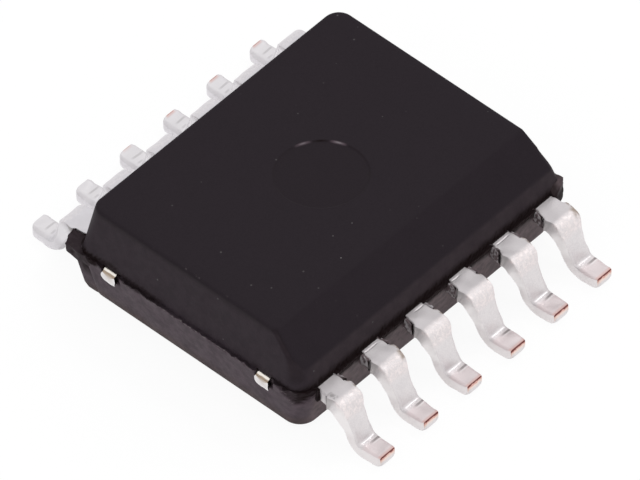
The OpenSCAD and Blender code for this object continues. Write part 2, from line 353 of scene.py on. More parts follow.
class Finish:
    """A material in the making: short calls add its nodes."""

    def __init__(self, tree: bpy.types.NodeTree) -> None:
        """Starts an empty node tree."""
        self.tree = tree
        self.tree.nodes.clear()

    def add(self, kind: str, feeds: dict[str | int, Value] | None = None,
            **settings: object) -> bpy.types.Node:
        """Adds a node.

        Args:
            kind: The node's type.
            feeds: Values or sockets for its inputs.
            settings: The node's own settings.

        Returns:
            The node.
        """
        node = self.tree.nodes.new(kind)
        for name, value in settings.items():
            setattr(node, name, value)
        for name, value in (feeds or {}).items():
            if isinstance(value, bpy.types.NodeSocket):
                self.tree.links.new(value, node.inputs[name])
            else:
                node.inputs[name].default_value = value
        return node

    def where(self) -> bpy.types.NodeSocket:
        """Object coordinates, in metres."""
        return self.add("ShaderNodeTexCoord").outputs["Object"]

    def parted(self, vector: bpy.types.NodeSocket) -> tuple[bpy.types.NodeSocket, ...]:
        """The three numbers of a vector."""
        return tuple(self.add("ShaderNodeSeparateXYZ", {"Vector": vector}).outputs)

    def placed(self) -> tuple[bpy.types.NodeSocket, ...]:
        """The three numbers of the piece's place attribute."""
        return self.parted(self.add("ShaderNodeAttribute", attribute_name="place").outputs["Vector"])

    def noise(self, size: float, detail: float = 2.0, rough: float = 0.5) -> bpy.types.NodeSocket:
        """Soft noise whose lumps are about a size in millimetres, from 0 to 1."""
        feeds = {"Vector": self.where(), "Scale": 1 / (size * MM), "Detail": detail, "Roughness": rough}
        return self.add("ShaderNodeTexNoise", feeds).outputs["Fac"]

    def maths(self, kind: str, a: Value, b: Value = 0.0) -> bpy.types.NodeSocket:
        """A sum, product or like of two numbers."""
        return self.add("ShaderNodeMath", {0: a, 1: b}, operation=kind).outputs[0]

    def span(self, value: Value, low: float, high: float, to_low: float = 0.0,
             to_high: float = 1.0) -> bpy.types.NodeSocket:
        """A smooth step of a value from low to high, between two results."""
        feeds = {"Value": value, "From Min": low, "From Max": high, "To Min": to_low, "To Max": to_high}
        return self.add("ShaderNodeMapRange", feeds, interpolation_type="SMOOTHSTEP").outputs["Result"]

    def band(self, value: Value, middle: float, half: float, soft: float) -> bpy.types.NodeSocket:
        """A mask that is 1 within half of the middle, and falls to 0 over a soft edge."""
        away = self.maths("ABSOLUTE", self.maths("SUBTRACT", value, middle))
        return self.span(away, half, half + soft, 1.0, 0.0)

    def both(self, *masks: Value) -> bpy.types.NodeSocket:
        """Where all of some masks are.

        Args:
            masks: The masks.

        Returns:
            Their product.
        """
        result = masks[0]
        for mask in masks[1:]:
            result = self.maths("MULTIPLY", result, mask)
        return result

    def raised(self, value: Value, *shares: tuple[Value, float]) -> bpy.types.NodeSocket:
        """Adds shares of masks to a value.

        Args:
            value: The value.
            shares: Masks, and how much each adds.

        Returns:
            The sum.
        """
        for mask, share in shares:
            value = self.maths("ADD", value, self.maths("MULTIPLY", mask, share))
        return value

    def mix(self, mask: Value, first: Value, second: Value) -> bpy.types.NodeSocket:
        """A colour between two, by a mask."""
        feeds = {0: mask, 6: shade(first), 7: shade(second)}
        return self.add("ShaderNodeMix", feeds, data_type="RGBA").outputs[2]

    def layered(self, colour: Value, *layers: tuple[Value, Value]) -> bpy.types.NodeSocket:
        """Lays colours over one another.

        Args:
            colour: The lowest colour.
            layers: Masks and the colours that they show, from the lowest up.

        Returns:
            The colour with all its layers.
        """
        for mask, paint in layers:
            colour = self.mix(mask, colour, paint)
        return colour

    def relief(self, height: Value, depth: float, strength: float,
               under: Value | None = None) -> bpy.types.NodeSocket:
        """Bumps a normal.

        Args:
            height: The bumps, from 0 to 1.
            depth: The height that 1 stands for, in millimetres.
            strength: How strongly they show.
            under: A bumped normal that they lie on.

        Returns:
            The bumped normal.
        """
        feeds = {"Height": height, "Distance": depth * MM, "Strength": strength}
        if under is not None:
            feeds["Normal"] = under
        return self.add("ShaderNodeBump", feeds).outputs["Normal"]

    def surface(self, shader: bpy.types.NodeSocket) -> None:
        """Gives the material its shader."""
        self.add("ShaderNodeOutputMaterial", {"Surface": shader})

    def principled(self, feeds: dict[str | int, Value]) -> None:
        """Gives the material a principled shader with these inputs."""
        self.surface(self.add("ShaderNodeBsdfPrincipled", feeds).outputs[0])


def shade(value: Value) -> Value:
    """A colour with full opacity added where it is written as three numbers."""
    return (*value, 1.0) if isinstance(value, tuple) else value


def metres(lengths: tuple[float, ...]) -> list[float]:
    """Lengths in millimetres, as metres."""
    return [length * MM for length in lengths]


def new_finish(name: str) -> tuple[bpy.types.Material, Finish]:
    """Starts a material.

    Args:
        name: Its name.

    Returns:
        The material, and the tree that fills it.
    """
    material = bpy.data.materials.new(name)
    material.use_nodes = True
    return material, Finish(material.node_tree)


@dataclass(frozen=True)
class MouldCompound:
    """Black moulding compound: matte, finely grained, pale filler specks, seams of sooty dirt and painted
    shade.

    The place attribute's first number is how much sooty dirt and painted shade lies on the surface, its
    second marks freshly broken spots and painted glints and light, and its third how much of the lower
    half's paler skin it has, which is painted light from the white floor, or from 1 to 2 a painted highlight.
    The skin is darker and warmer towards its foot, and painted lighter on the side past side_edge, from
    side_end on.
    """

    dark: Colour = (0.0115, 0.0075, 0.0108)
    light: Colour = (0.0245, 0.0180, 0.0230)
    # Painted light: the lower half and the walls are made paler where they face the white floor, and the +X
    # side paler still.
    under: Colour = (0.088, 0.064, 0.077)
    side: Colour = (0.140, 0.104, 0.110)
    foot: Colour = (0.085, 0.057, 0.054)
    speck: Colour = (0.080, 0.074, 0.076)
    crumb: Colour = (0.26, 0.25, 0.25)
    # The tone of the seams' sooty dirt and painted shade.
    sooty_shade: Colour = (0.0070, 0.0030, 0.0030)
    # The tone of freshly broken spots, also used for the painted glints and painted light.
    broken: Colour = (0.170, 0.146, 0.148)
    # The tone of painted highlights.
    shine: Colour = (0.42, 0.40, 0.41)
    foot_height: float = 0.30
    side_edge: Span = (1.70, 1.78)
    side_end: Span = (-2.25, -2.1)
    grain_size: float = 0.022
    fleck_size: float = 0.05
    coarse_size: float = 0.09
    wear_size: float = 0.12
    mottle_size: float = 0.30
    specks: Band = (0.11, 0.92, 0.16)
    crumbs: Band = (0.30, 0.75, 0.055)
    roughness: Span = (0.54, 0.62)
    specular: float = 0.1

    def material(self) -> bpy.types.Material:
        """Makes the material: the mottled compound, and over it the skin painted lighter, specks, breaks and
        painted glints, sooty dirt with painted shade, and a painted highlight.

        Returns:
            The material.
        """
        material, tree = new_finish("mould_compound")
        soot_and_shade, fresh_and_glint, lower = tree.placed()
        grain = tree.noise(self.grain_size, 3.0, 0.6)
        mottle = tree.noise(self.mottle_size, 3.0, 0.55)
        tone = tree.raised(tree.maths("MULTIPLY", grain, 0.6), (mottle, 0.4))
        colour = tree.mix(tone, self.dark, self.light)
        across, along, height = tree.parted(tree.where())
        # Painted light: the skin's paler tone, stronger on the +X side, stands in for the white floor's
        # light; darker and warmer towards the foot.
        beside = tree.both(tree.span(across, *metres(self.side_edge)),
                           tree.span(along, *metres(self.side_end)))
        skin = tree.mix(tree.span(height, 0.0, self.foot_height * MM), self.foot, self.under)
        skin = tree.mix(beside, skin, self.side)
        worn = tree.span(tree.noise(self.wear_size, 3.0, 0.6), 0.3, 0.7, 0.55, 1.0)
        flecks = tree.span(tree.noise(self.fleck_size, 4.0, 0.6), 0.48, 0.64)
        colour = tree.layered(
            colour,
            (tree.both(lower, worn), skin),
            (self.scattered(tree, *self.specks), self.speck),
            (self.scattered(tree, *self.crumbs), self.crumb),
            # Freshly broken spots, and painted glints and light on the rim, the front top edge and the webs.
            (tree.both(fresh_and_glint, flecks), self.broken),
            # Sooty dirt and painted shade on the parting line's ledge, in its gaps and in its recesses.
            (soot_and_shade, self.sooty_shade),
            # Painted highlight: the ejector mark's glints and the webs' light spots.
            (tree.span(lower, 1.0, 2.0), self.shine),
        )
        coarse = tree.relief(tree.noise(self.coarse_size, 2.0, 0.5), 0.004, 0.5)
        tree.principled({
            "Base Color": colour,
            "Roughness": tree.maths("MAXIMUM", tree.span(mottle, 0.3, 0.7, *self.roughness), soot_and_shade),
            "Normal": tree.relief(grain, 0.0025, 0.7, coarse),
            "Specular IOR Level": self.specular,
        })
        return material

    @staticmethod
    def scattered(tree: Finish, size: float, limit: float, radius: float) -> bpy.types.NodeSocket:
        """Dots in the cells whose own number is over a limit, weaker where it is only just over.

        Args:
            tree: The material's nodes.
            size: Size of a cell in millimetres.
            limit: The limit, from 0 to 1.
            radius: Radius of a dot, as a share of the cell's size.

        Returns:
            The dots' mask.
        """
        cells = tree.add("ShaderNodeTexVoronoi", {"Vector": tree.where(), "Scale": 1 / (size * MM)}).outputs
        number = tree.add("ShaderNodeSeparateColor", {0: cells["Color"]}).outputs[0]
        dot = tree.span(cells["Distance"], radius / 2, radius, 1.0, 0.0)
        return tree.both(tree.span(number, limit, 1.0), dot)


@dataclass(frozen=True)
class Fold:
    """A line pressed across a foot, with painted shade on it and a painted highlight line beside it.

    place is its distance from the tip. middle, half and soft say where it lies across the strip, from
    -1 to 1, and dark and lit how strong its painted shade and its painted highlight are.
    """

    place: float
    middle: float
    half: float
    soft: float
    dark: float
    lit: float = 0.0


@dataclass(frozen=True)
class TinPlate:
    """Matte tin over copper, bare at the cut tip and on the dam bar's stubs.

    The place attribute is the distance from the tip along the upper side in millimetres, the share
    across from -1 to 1, and the share through the strip from -1 to 1. A field that ends in _from or _to
    gives the distances between which a tone comes or goes. One that ends in _at gives its middle, its
    half width and its soft edge, and one that ends in _rows says the same of places along the row.
    """

    tin: Colour = (0.79, 0.755, 0.76)
    bright: Colour = (0.95, 0.92, 0.92)
    dull: Colour = (0.71, 0.675, 0.685)
    blush: Colour = (0.93, 0.865, 0.86)
    rose: Colour = (0.81, 0.72, 0.725)
    copper: Colour = (0.87, 0.73, 0.67)
    cut: Colour = (0.73, 0.42, 0.365)
    edge: Colour = (0.17, 0.045, 0.040)
    # The tone of the folds' painted shade, and of the smear.
    dark: Colour = (0.22, 0.20, 0.20)
    # The tone of the painted shade on the flank beside the stub.
    side: Colour = (0.59, 0.565, 0.565)
    # The tone of the painted shadow at the root and in the gap beside the stub.
    gap: Colour = (0.030, 0.022, 0.022)
    stain: Colour = (0.30, 0.225, 0.17)
    stained: float = 0.8
    grain_size: float = 0.018
    crumb_size: float = 0.045
    cloud_size: float = 0.16
    roughness: Span = (0.36, 0.48)
    folds: tuple[Fold, ...] = (Fold(0.275, 0.75, 0.35, 0.8, 0.7, 0.6),)
    fold_width: Span = (0.006, 0.018)
    lit_width: Span = (0.005, 0.008)
    lit_past: float = 0.032
    bare_rows: Span = (-9.0, -7.4)
    bare_across: Band = (-0.1, 1.2, 0.4)
    rose_to: Span = (0.25, 0.33)
    brink_to: Span = (0.40, 0.60)
    bright_to: Span = (0.90, 1.05)
    knee_at: Band = (0.92, 0.09, 0.10)
    rubbed_at: Band = (1.00, 0.04, 0.07)
    rubbed_rows: tuple[Span, Band] = ((1.6, 1.7), (-1.17, 0.3, 0.1))
    # Where the shoulder's painted shade begins.
    shoulder_from: Span = (1.01, 1.09)
    # Where the painted shade beside the stub comes and goes.
    side_from: Span = (1.04, 1.12)
    side_to: Span = (1.21, 1.24)
    stub_at: Band = (1.12, 0.07, 0.03)
    smear_at: Band = (1.16, 0.035, 0.05)
    smear_across: Band = (-0.70, 0.08, 0.20)
    smear_rows: Span = (-1.8, -1.7)
    # Where the painted shade in the gap lies, and where the root's painted shadow starts.
    gap_at: Band = (1.218, 0.005, 0.006)
    root_from: Span = (1.392, 1.402)

    @classmethod
    def pale(cls) -> "TinPlate":
        """The second row's plate, painted lighter for the stronger light on that row, and with no stain
        marks.
        """
        return cls(
            tin=(0.76, 0.74, 0.76), bright=(0.92, 0.90, 0.92), dull=(0.70, 0.68, 0.705),
            blush=(0.83, 0.80, 0.815), rose=(0.80, 0.775, 0.79), edge=(0.52, 0.30, 0.29), stained=0.0,
            folds=(Fold(0.19, -0.15, 0.25, 0.5, 0.30), Fold(0.293, 0.2, 0.12, 0.3, 0.22)),
            bare_rows=(-1.0, 0.6), bare_across=(-0.1, 0.35, 0.4),
        )

    def material(self, name: str) -> bpy.types.Material:
        """Makes the material, with the marks that forming and cutting leave, and painted light and shade.

        Args:
            name: Its name.

        Returns:
            The material.
        """
        material, tree = new_finish(name)
        along, across, through = tree.placed()
        grain = tree.noise(self.grain_size, 3.0, 0.6)
        cloud = tree.noise(self.cloud_size, 3.0, 0.6)
        crumbs = tree.span(tree.noise(self.crumb_size, 4.0, 0.65), 0.42, 0.62)
        upper = tree.span(through, 0.2, 0.8)
        outer = tree.maths("ABSOLUTE", across)
        flank = tree.span(outer, 0.96, 0.99)
        knee = tree.both(upper, tree.band(along, *self.knee_at))
        shoulder = tree.both(upper, tree.span(along, *self.shoulder_from))
        brink = tree.both(tree.span(outer, 0.62, 0.78), tree.span(along, *self.brink_to, 1.0, 0.0))
        # Painted shade on the flank beside the dam bar's stub.
        stub_shade = tree.both(flank, tree.span(along, *self.side_from, 0.0, 0.9),
                                tree.span(along, *self.side_to, 1.0, 0.0))
        colour = tree.layered(
            tree.mix(tree.span(cloud, 0.3, 0.7), self.dull, self.tin),
            (tree.span(grain, 0.35, 0.75, 0.0, 0.35), self.bright),
            (tree.both(upper, tree.span(along, *self.rose_to, 0.85, 0.0)), self.rose),
            # Painted shade: the shoulder darker, where it reflects the black body.
            (tree.both(shoulder, 0.8), self.dull),
            (tree.both(knee, tree.span(crumbs, 0.0, 1.0, 0.4, 1.0)), self.blush),
            # Painted light: the flanks lighter down to the knee, where they face the white floor.
            (tree.both(flank, tree.span(along, *self.bright_to, 0.85, 0.0)), self.bright),
            (stub_shade, self.side),
        )
        colour = self.bare_tip(tree, self.stains_and_shade(tree, colour, flank, upper))
        rough = tree.raised(tree.span(cloud, 0.3, 0.7, *self.roughness), (knee, 0.16), (flank, 0.18),
                            (stub_shade, 0.2), (shoulder, 0.12), (brink, 0.25))
        height = tree.raised(tree.both(knee, crumbs), (grain, 0.5))
        tree.principled({
            "Base Color": colour, "Metallic": 1.0, "Roughness": rough,
            "Normal": tree.relief(height, 0.006, 0.5),
        })
        return material

    def stains_and_shade(self, tree: Finish, colour: Value, flank: Value, upper: Value) -> bpy.types.NodeSocket:
        """Adds the foot's folds with their painted shade and highlight, painted shadow at the root and in the
        gap beside the stub, the stain marks and the smear.

        Args:
            tree: The material's nodes.
            colour: The colour so far.
            flank: Mask of the strip's sides.
            upper: Mask of its upper side.

        Returns:
            The colour with these marks.
        """
        along, across, _ = tree.placed()
        _, row, _ = tree.parted(tree.where())
        # Painted shade on each fold's line, and a painted highlight just past it.
        for fold in self.folds:
            spot = tree.both(upper, tree.band(across, fold.middle, fold.half, fold.soft))
            line = tree.band(along, fold.place, *self.fold_width)
            past = tree.band(along, fold.place - self.lit_past, *self.lit_width)
            colour = tree.layered(colour, (tree.both(spot, line, fold.dark), self.dark),
                                  (tree.both(spot, past, fold.lit), self.bright))
        bare = tree.both(tree.span(across, 0.80, 0.95), tree.band(along, *self.stub_at),
                         tree.span(tree.noise(0.06), 0.42, 0.60, 0.0, self.stained))
        last, second = (metres(places) for places in self.rubbed_rows)
        two_leads = tree.maths("MAXIMUM", tree.span(row, *last), tree.band(row, *second))
        rubbed = tree.both(upper, tree.span(across, 0.45, 0.85), tree.band(along, *self.rubbed_at), two_leads,
                           tree.span(tree.noise(0.08), 0.35, 0.60, 0.2 * self.stained, self.stained))
        smear = tree.both(upper, tree.band(along, *self.smear_at), tree.band(across, *self.smear_across),
                          tree.span(row, *metres(self.smear_rows), 0.7 * self.stained, 0.0),
                          tree.span(tree.noise(0.04, 3.0), 0.30, 0.60))
        return tree.layered(
            colour,
            # Painted shadow at the lead's root under the body's edge, and painted shade in the gap beside the
            # stub.
            (tree.span(along, *self.root_from), self.gap),
            (tree.both(flank, tree.band(along, *self.gap_at)), self.gap),
            (bare, self.stain),
            (rubbed, self.stain),
            (smear, self.dark),
        )

    def bare_tip(self, tree: Finish, colour: Value) -> bpy.types.NodeSocket:
        """Adds the bare copper of the cut tip: dark along its upper edge, then red, then tin drawn over it.

        Args:
            tree: The material's nodes.
            colour: The colour so far.

        Returns:
            The colour with the tip.
        """
        along, across, through = tree.placed()
        _, row, _ = tree.parted(tree.where())
        shown = tree.both(tree.span(row, *metres(self.bare_rows)), tree.band(across, *self.bare_across))
        ragged = tree.maths("ADD", through, tree.span(tree.noise(0.05, 3.0), 0.2, 0.8, -0.25, 0.25))
        tip = tree.both(shown, tree.span(along, 0.004, 0.016, 1.0, 0.0))
        tones = ((-0.70, 0.00, self.copper), (0.10, 0.45, self.cut), (0.58, 0.75, self.edge))
        layers = [(tree.both(tip, tree.span(ragged, low, high)), paint) for low, high, paint in tones]
        drawn = tree.both(tree.span(through, 0.8, 0.95), tree.span(along, 0.004, 0.012), shown,
                          tree.span(along, 0.02, 0.06, 0.5, 0.0))
        return tree.layered(colour, *layers, (drawn, self.cut))


@dataclass(frozen=True)
class PaddlePlate:
    """The paddle's tin: bright, and cream over a thin tan line where the tie bars were cut; the cream is a
    smear and a painted highlight.

    The place attribute's first number is 1 on the smear and painted highlight, its second on the line, and
    its third on a bar's sides, which carry painted shade beside their gaps.
    """

    tin: Colour = (0.80, 0.775, 0.785)
    bright: Colour = (0.94, 0.925, 0.93)
    # The cream of the smear and the painted highlight on the bars' tops.
    cream: Colour = (1.0, 0.95, 0.87)
    tan: Colour = (0.42, 0.33, 0.25)
    # The tone of the painted shade beside the bars' gaps.
    gap: Colour = (0.030, 0.020, 0.018)
    grain_size: float = 0.018
    cloud_size: float = 0.20
    roughness: Span = (0.34, 0.46)

    def material(self) -> bpy.types.Material:
        """Makes the material.

        Returns:
            The material.
        """
        material, tree = new_finish("paddle_plate")
        smear_and_highlight, line, beside = tree.placed()
        cloud = tree.noise(self.cloud_size, 3.0, 0.6)
        colour = tree.mix(tree.span(cloud, 0.3, 0.7), self.tin, self.bright)
        tree.principled({
            "Base Color": tree.layered(colour, (smear_and_highlight, self.cream), (line, self.tan), (beside, self.gap)),
            "Metallic": 1.0,
            "Roughness": tree.span(cloud, 0.3, 0.7, *self.roughness),
            "Normal": tree.relief(tree.noise(self.grain_size, 3.0, 0.6), 0.004, 0.4),
        })
        return material


@dataclass(frozen=True)
class PlainFinish:
    """A hidden piece's finish: two tones clouded into each other over a fine grain."""

    first: Colour
    second: Colour
    cloud: float
    metallic: float
    roughness: float

    def material(self, name: str) -> bpy.types.Material:
        """Makes the material.

        Args:
            name: Its name.

        Returns:
            The material.
        """
        material, tree = new_finish(name)
        grain = tree.noise(self.cloud / 8, 2.0, 0.5)
        tree.principled({
            "Base Color": tree.mix(tree.noise(self.cloud, 4.0, 0.6), self.first, self.second),
            "Metallic": self.metallic,
            "Roughness": tree.span(grain, 0.3, 0.7, self.roughness - 0.06, self.roughness + 0.06),
            "Normal": tree.relief(grain, 0.002, 0.3),
        })
        return material


def dress(piece: bpy.types.Object, material: bpy.types.Material, slot: Slot, *nodes: str) -> None:
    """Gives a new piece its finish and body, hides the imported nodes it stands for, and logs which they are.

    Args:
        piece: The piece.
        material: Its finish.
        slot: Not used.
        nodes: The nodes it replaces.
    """
    piece.data.materials.append(material)
    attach(piece, "root")
    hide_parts(*nodes)
    log.info("%s: %d points, for %s", piece.name, len(piece.data.vertices), ", ".join(nodes))


@dataclass(frozen=True)
class LeadPlace:
    """Where a lead stands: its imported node, its place along the row, and its row."""

    node: str
    y: float
    row: Row

    @classmethod
    def of(cls, node: str, first_row_shift: float = 0.03) -> "LeadPlace":
        """Reads a lead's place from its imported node.

        Args:
            node: The node's name.
            first_row_shift: How much further along the first row stands.

        Returns:
            The place.
        """
        low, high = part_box(node)
        row = Row.FIRST if low.x + high.x > 0 else Row.SECOND
        return cls(node, (low.y + high.y) / 2 / MM + (first_row_shift if row is Row.FIRST else 0), row)


@dataclass
class MouldedBody:
    """The moulded block with its bevel, parting-line ledge, ejector mark, gate, flash and resin webs.

    Four corner radii run counter-clockwise from the corner at +X +Y. A dip is its depth at the parting
    line, and how far below and above the line it ends. A field that ends in _from, _to or _left gives
    the two places between which something comes or goes.
    """

    half_width: float = 1.95
    half_length: float = 2.45
    parting: float = 0.81
    inset: float = 0.055
    end_inset: float = 0.043
    upper_draft: float = math.radians(10)
    upper_corner: float = 0.19
    foot_corner: float = 0.24
    foot_change: tuple[float, ...] = (0.0, 0.03, -0.06, 0.0)
    top_change: tuple[float, ...] = (0.0, 0.03, -0.01, 0.0)
    top_edge: float = 0.045
    top_stretch: float = 0.042
    bevel: float = 0.45
    bevel_edge: float = 0.12
    bevel_blend: float = 0.03
    bevel_stretch: float = 0.08
    bevel_ends: Span = (0.03, 0.09)
    back_corner: float = 0.07
    first_side: float = 0.035
    lower_draft: float = math.radians(12)
    lower_corner: tuple[float, ...] = (0.20, 0.20, 0.20, 0.25)
    lower_edge: float = 0.012
    end_foot: float = 0.022
    rim_corner: float = 0.30
    rim_steps: tuple[float, ...] = (0.0, 0.006, 0.016, 0.03)
    rim_ragged: tuple[float, ...] = (0.15, 0.5, 0.8, 1, 1, 1, 0.9, 0.5)
    mark_centre: Span = (0.039, 0.037)
    mark_radius: float = 0.618
    mark_squash: float = 0.059
    mark_turn: float = math.radians(131.5)
    mark_depth: float = 0.012
    mark_wall: float = 0.025
    mark_steps: tuple[float, ...] = (-0.45, -0.25, -0.1, -0.045, -0.03, -0.02, -0.01, 0.0, 0.01, 0.02, 0.04)
    pad_half: Span = (1.203, 1.853)
    pad_corner: float = 0.03
    pad_recess: float = 0.03
    tie_offset: float = 1.31
    tie_half: float = 0.115
    tie_dip: Band = (0.05, 0.11, 0.06)
    tie_gap: float = 0.05
    tie_gap_from: Span = (0.64, 0.68)
    lead_half: float = 0.168
    lead_dip: Band = (0.022, 0.06, 0.03)
    chip_depth: float = 0.03
    chip_heading: Span = (0.7325, 0.6802)
    chip_heights: tuple[Span, ...] = (
        (-0.58, 0.0), (-0.49, 0.03), (-0.40, 0.13), (-0.29, 0.26),
        (-0.24, 0.22), (-0.14, 0.15), (-0.06, 0.09), (0.02, 0.03),
    )
    chip_from: Span = (1.38, 1.46)
    chip_to: Span = (-2.2, -2.05)
    soot_and_shade_left: Span = (-0.60, -0.25)
    thin_soot_and_shade_from: Span = (0.70, 0.80)
    thick_soot_and_shade_from: Span = (1.36, 1.46)
    gate_soot_and_shade_to: Span = (-1.60, -1.44)
    seam_from: Span = (0.45, 0.5)
    seam_to: Span = (0.90, 0.95)
    corner_length: float = 0.26
    corner_slant: float = 0.10
    gate_root: float = 0.36
    gate_out: float = 0.215
    gate_foot: float = 0.09
    gate_lean: float = 0.035
    gate_lift: float = 0.003
    flash_root: float = 0.25
    flash_out: float = 0.062
    flash_past: float = 0.025
    flash_rise: float = 0.10
    web_root: float = 0.05
    web_out: float = 0.165
    end_web_out: float = 0.05
    web_sides: tuple[float, ...] = (0.13, 0.15, 0.207, 0.180)
    strip: float = 0.21
    lead_top: float = 0.80
    arc: int = 12
    sides: tuple[int, ...] = (170, 180, 170, 180)
    corner_steps: int = 14
    top: float = field(init=False)
    underside: float = field(init=False)

    def __post_init__(self) -> None:
        """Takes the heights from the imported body."""
        low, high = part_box("moulded_body")
        self.top, self.underside = high.z / MM, low.z / MM

    def wall(self, foot: float, z: np.ndarray) -> np.ndarray:
        """An upper wall: its draft from the foot, then an arc over to the top face.

        Args:
            foot: Where it stands on the ledge.
            z: The heights.

        Returns:
            Where it lies at each height.
        """
        lean = math.tan(self.upper_draft)
        straight = foot - (z - self.parting) * lean
        edge = foot - (self.top - self.parting) * lean
        return self.rolled(straight, edge, self.top - z, self.top_edge, self.upper_draft)

    def bevelled(self, z: np.ndarray) -> np.ndarray:
        """The bevelled side: a smooth lesser of wall and bevel, then an arc to the top face.

        Args:
            z: The heights.

        Returns:
            Where it lies at each height.
        """
        foot = self.top - self.bevel
        foot_x = self.half_width - self.inset - (foot - self.parting) * math.tan(self.upper_draft)
        wall = foot_x + (foot - z) * (math.tan(self.upper_draft) + self.first_side / (foot - self.parting))
        slope = foot_x + foot - z
        lesser = (wall + slope - np.sqrt((wall - slope) ** 2 + self.bevel_blend**2)) / 2
        return self.rolled(lesser, foot_x - self.bevel, self.top - z, self.bevel_edge, math.pi / 4)

    @staticmethod
    def rolled(straight: np.ndarray, edge: float, drop: np.ndarray, radius: float,
               draft: float) -> np.ndarray:
        """A leaning wall whose edge is an arc, tangent to the wall and to the flat face beside it.

        Args:
            straight: The wall's place at each height.
            edge: Where wall and face would meet.
            drop: Distance of each height from the face.
            radius: The arc's radius.
            draft: The wall's lean from square, in radians.

        Returns:
            The rounded wall's place at each height.
        """
        hub = edge - radius * (1 - math.sin(draft)) / math.cos(draft)
        rise = np.sqrt(np.maximum(radius**2 - (radius - drop) ** 2, 0))
        return np.where(drop < radius * (1 - math.sin(draft)), hub + rise, straight)

    def upper_rings(self) -> np.ndarray:
        """Outlines of the upper half from the top face's edge to the ledge, close together round its edges.

        The corners narrow with the height, and by what the bevel takes off beside them.

        Returns:
            Points as ring, point round the ring, axis.
        """
        foot = self.top - self.bevel
        above, below = foot + self.bevel_stretch, foot - self.bevel_stretch
        z = np.concatenate([
            self.top - self.top_stretch * np.linspace(0, 1, 8) ** 2,
            np.linspace(self.top - self.top_stretch, above, 8)[1:],
            np.linspace(above, below, 11)[1:],
            np.linspace(below, self.parting, 10)[1:],
        ])
        side, bevelled = self.wall(self.half_width - self.inset, z), self.bevelled(z)
        end = self.wall(self.half_length - self.end_inset, z)
        share = (z - self.parting) / (self.top - self.parting)
        rolled_in = self.half_width - self.inset - (z - self.parting) * math.tan(self.upper_draft) - side
        radius = self.foot_corner + (self.upper_corner - self.foot_corner) * share - rolled_in
        left = radius - np.maximum(side - bevelled, 0)
        back, front = (np.maximum(left, least) for least in self.bevel_ends)
        radii = np.stack([np.minimum(back, self.back_corner), radius, radius, front], axis=-1)
        radii = radii + np.outer(1 - share, self.foot_change) + np.outer(share, self.top_change)
        return self.outlines(z, -side, bevelled, end, radii)

    def lower_rings(self) -> np.ndarray:
        """Outlines of the lower half, from the rim of the parting line to the underside's edge.

        Returns:
            Points as ring, point round the ring, axis.
        """
        z = np.concatenate([
            self.parting - np.array(self.rim_steps),
            np.linspace(self.parting - self.rim_steps[-1], self.underside + 0.05, 34)[1:],
            self.underside + self.lower_edge * np.linspace(0.8, 0, 5) ** 2,
        ])
        lean = math.tan(self.lower_draft)
        depth = self.parting - z
        reach = (self.parting - self.underside) * lean
        side = self.rolled(self.half_width - depth * lean, self.half_width - reach, z - self.underside,
                           self.lower_edge, self.lower_draft)
        share = depth / (self.parting - self.underside)
        end = side + self.half_length - self.half_width + self.end_foot * share
        radii = self.rim_corner + np.outer(share, np.array(self.lower_corner) - self.rim_corner)
        return self.outlines(z, -side, side + self.first_side, end, radii)

    def outlines(self, z: np.ndarray, low_x: np.ndarray, high_x: np.ndarray, end: np.ndarray,
                 radii: np.ndarray) -> np.ndarray:
        """Rounded rectangles at heights.

        Args:
            z: The heights.
            low_x: Where the -X side lies at each.
            high_x: Where the +X side lies.
            end: Half the length.
            radii: The four corner radii, as ring, corner.

        Returns:
            Points as ring, point round the ring, axis.
        """
        low, high = np.stack([low_x, -end], -1), np.stack([high_x, end], -1)
        return lifted(rounded_rings(low, high, radii, self.arc, self.sides), z)

    def mark_edge(self, angle: np.ndarray) -> np.ndarray:
        """The ejector mark's radius by direction: a circle that is a little squashed along one direction."""
        return self.mark_radius * (1 - self.mark_squash * np.cos(angle - self.mark_turn) ** 2)

    def mark_rings(self, outline: np.ndarray) -> np.ndarray:
        """The top face: rings of the shallow ejector mark, which then blend into the face's outline.

        Args:
            outline: The face's outline.

        Returns:
            Points as ring, point round the ring, axis.
        """
        angle = np.arctan2(*(outline[:, :2] - self.mark_centre).T[::-1])
        spokes = np.stack([np.cos(angle), np.sin(angle), np.zeros_like(angle)], axis=-1)
        past = np.array(self.mark_steps)
        sunk = 1 - step(past, -self.mark_wall, 0)
        circles = spokes * (self.mark_edge(angle) + past[:, None])[..., None] + (*self.mark_centre, 0)
        circles[..., 2] = self.top - self.mark_depth * sunk[:, None]
        return np.concatenate([circles, between(circles[-1], outline, 0.12, 0.3, 0.5, 0.7, 0.88)])

    def under_rings(self, outline: np.ndarray) -> np.ndarray:
        """The underside: from its edge in to the paddle's opening, up its wall and over its roof.

        Args:
            outline: The underside's edge.

        Returns:
            Points as ring, point round the ring, axis.
        """
        half = np.array([self.pad_half])
        flat = rounded_rings(-half, half, np.full((1, 4), self.pad_corner), self.arc, self.sides)
        opening = lifted(flat, np.array([self.underside]))[0]
        lift = np.array([0, 0, self.pad_recess])
        roof = np.stack([opening + lift, opening * np.array([0.5, 0.5, 1]) + lift])
        return np.concatenate([between(outline, opening, 0.3, 0.7, 0.96, 1.0), roof])

    def dipped(self, z: np.ndarray, where: np.ndarray, depth: float, below: float,
               above: float) -> np.ndarray:
        """Heights drawn down at the parting line.

        Args:
            z: The heights.
            where: How much they are drawn down, from 0 to 1.
            depth: How far, at the parting line.
            below: How far below it the change ends.
            above: How far above it the change ends.

        Returns:
            The changed heights.
        """
        knots = self.parting + np.array([-below, 0.0, above])
        lowered = np.interp(z, knots, knots - np.array([0, depth, 0]))
        return z + where * ((z > knots[0]) & (z < knots[2])) * (lowered - z)

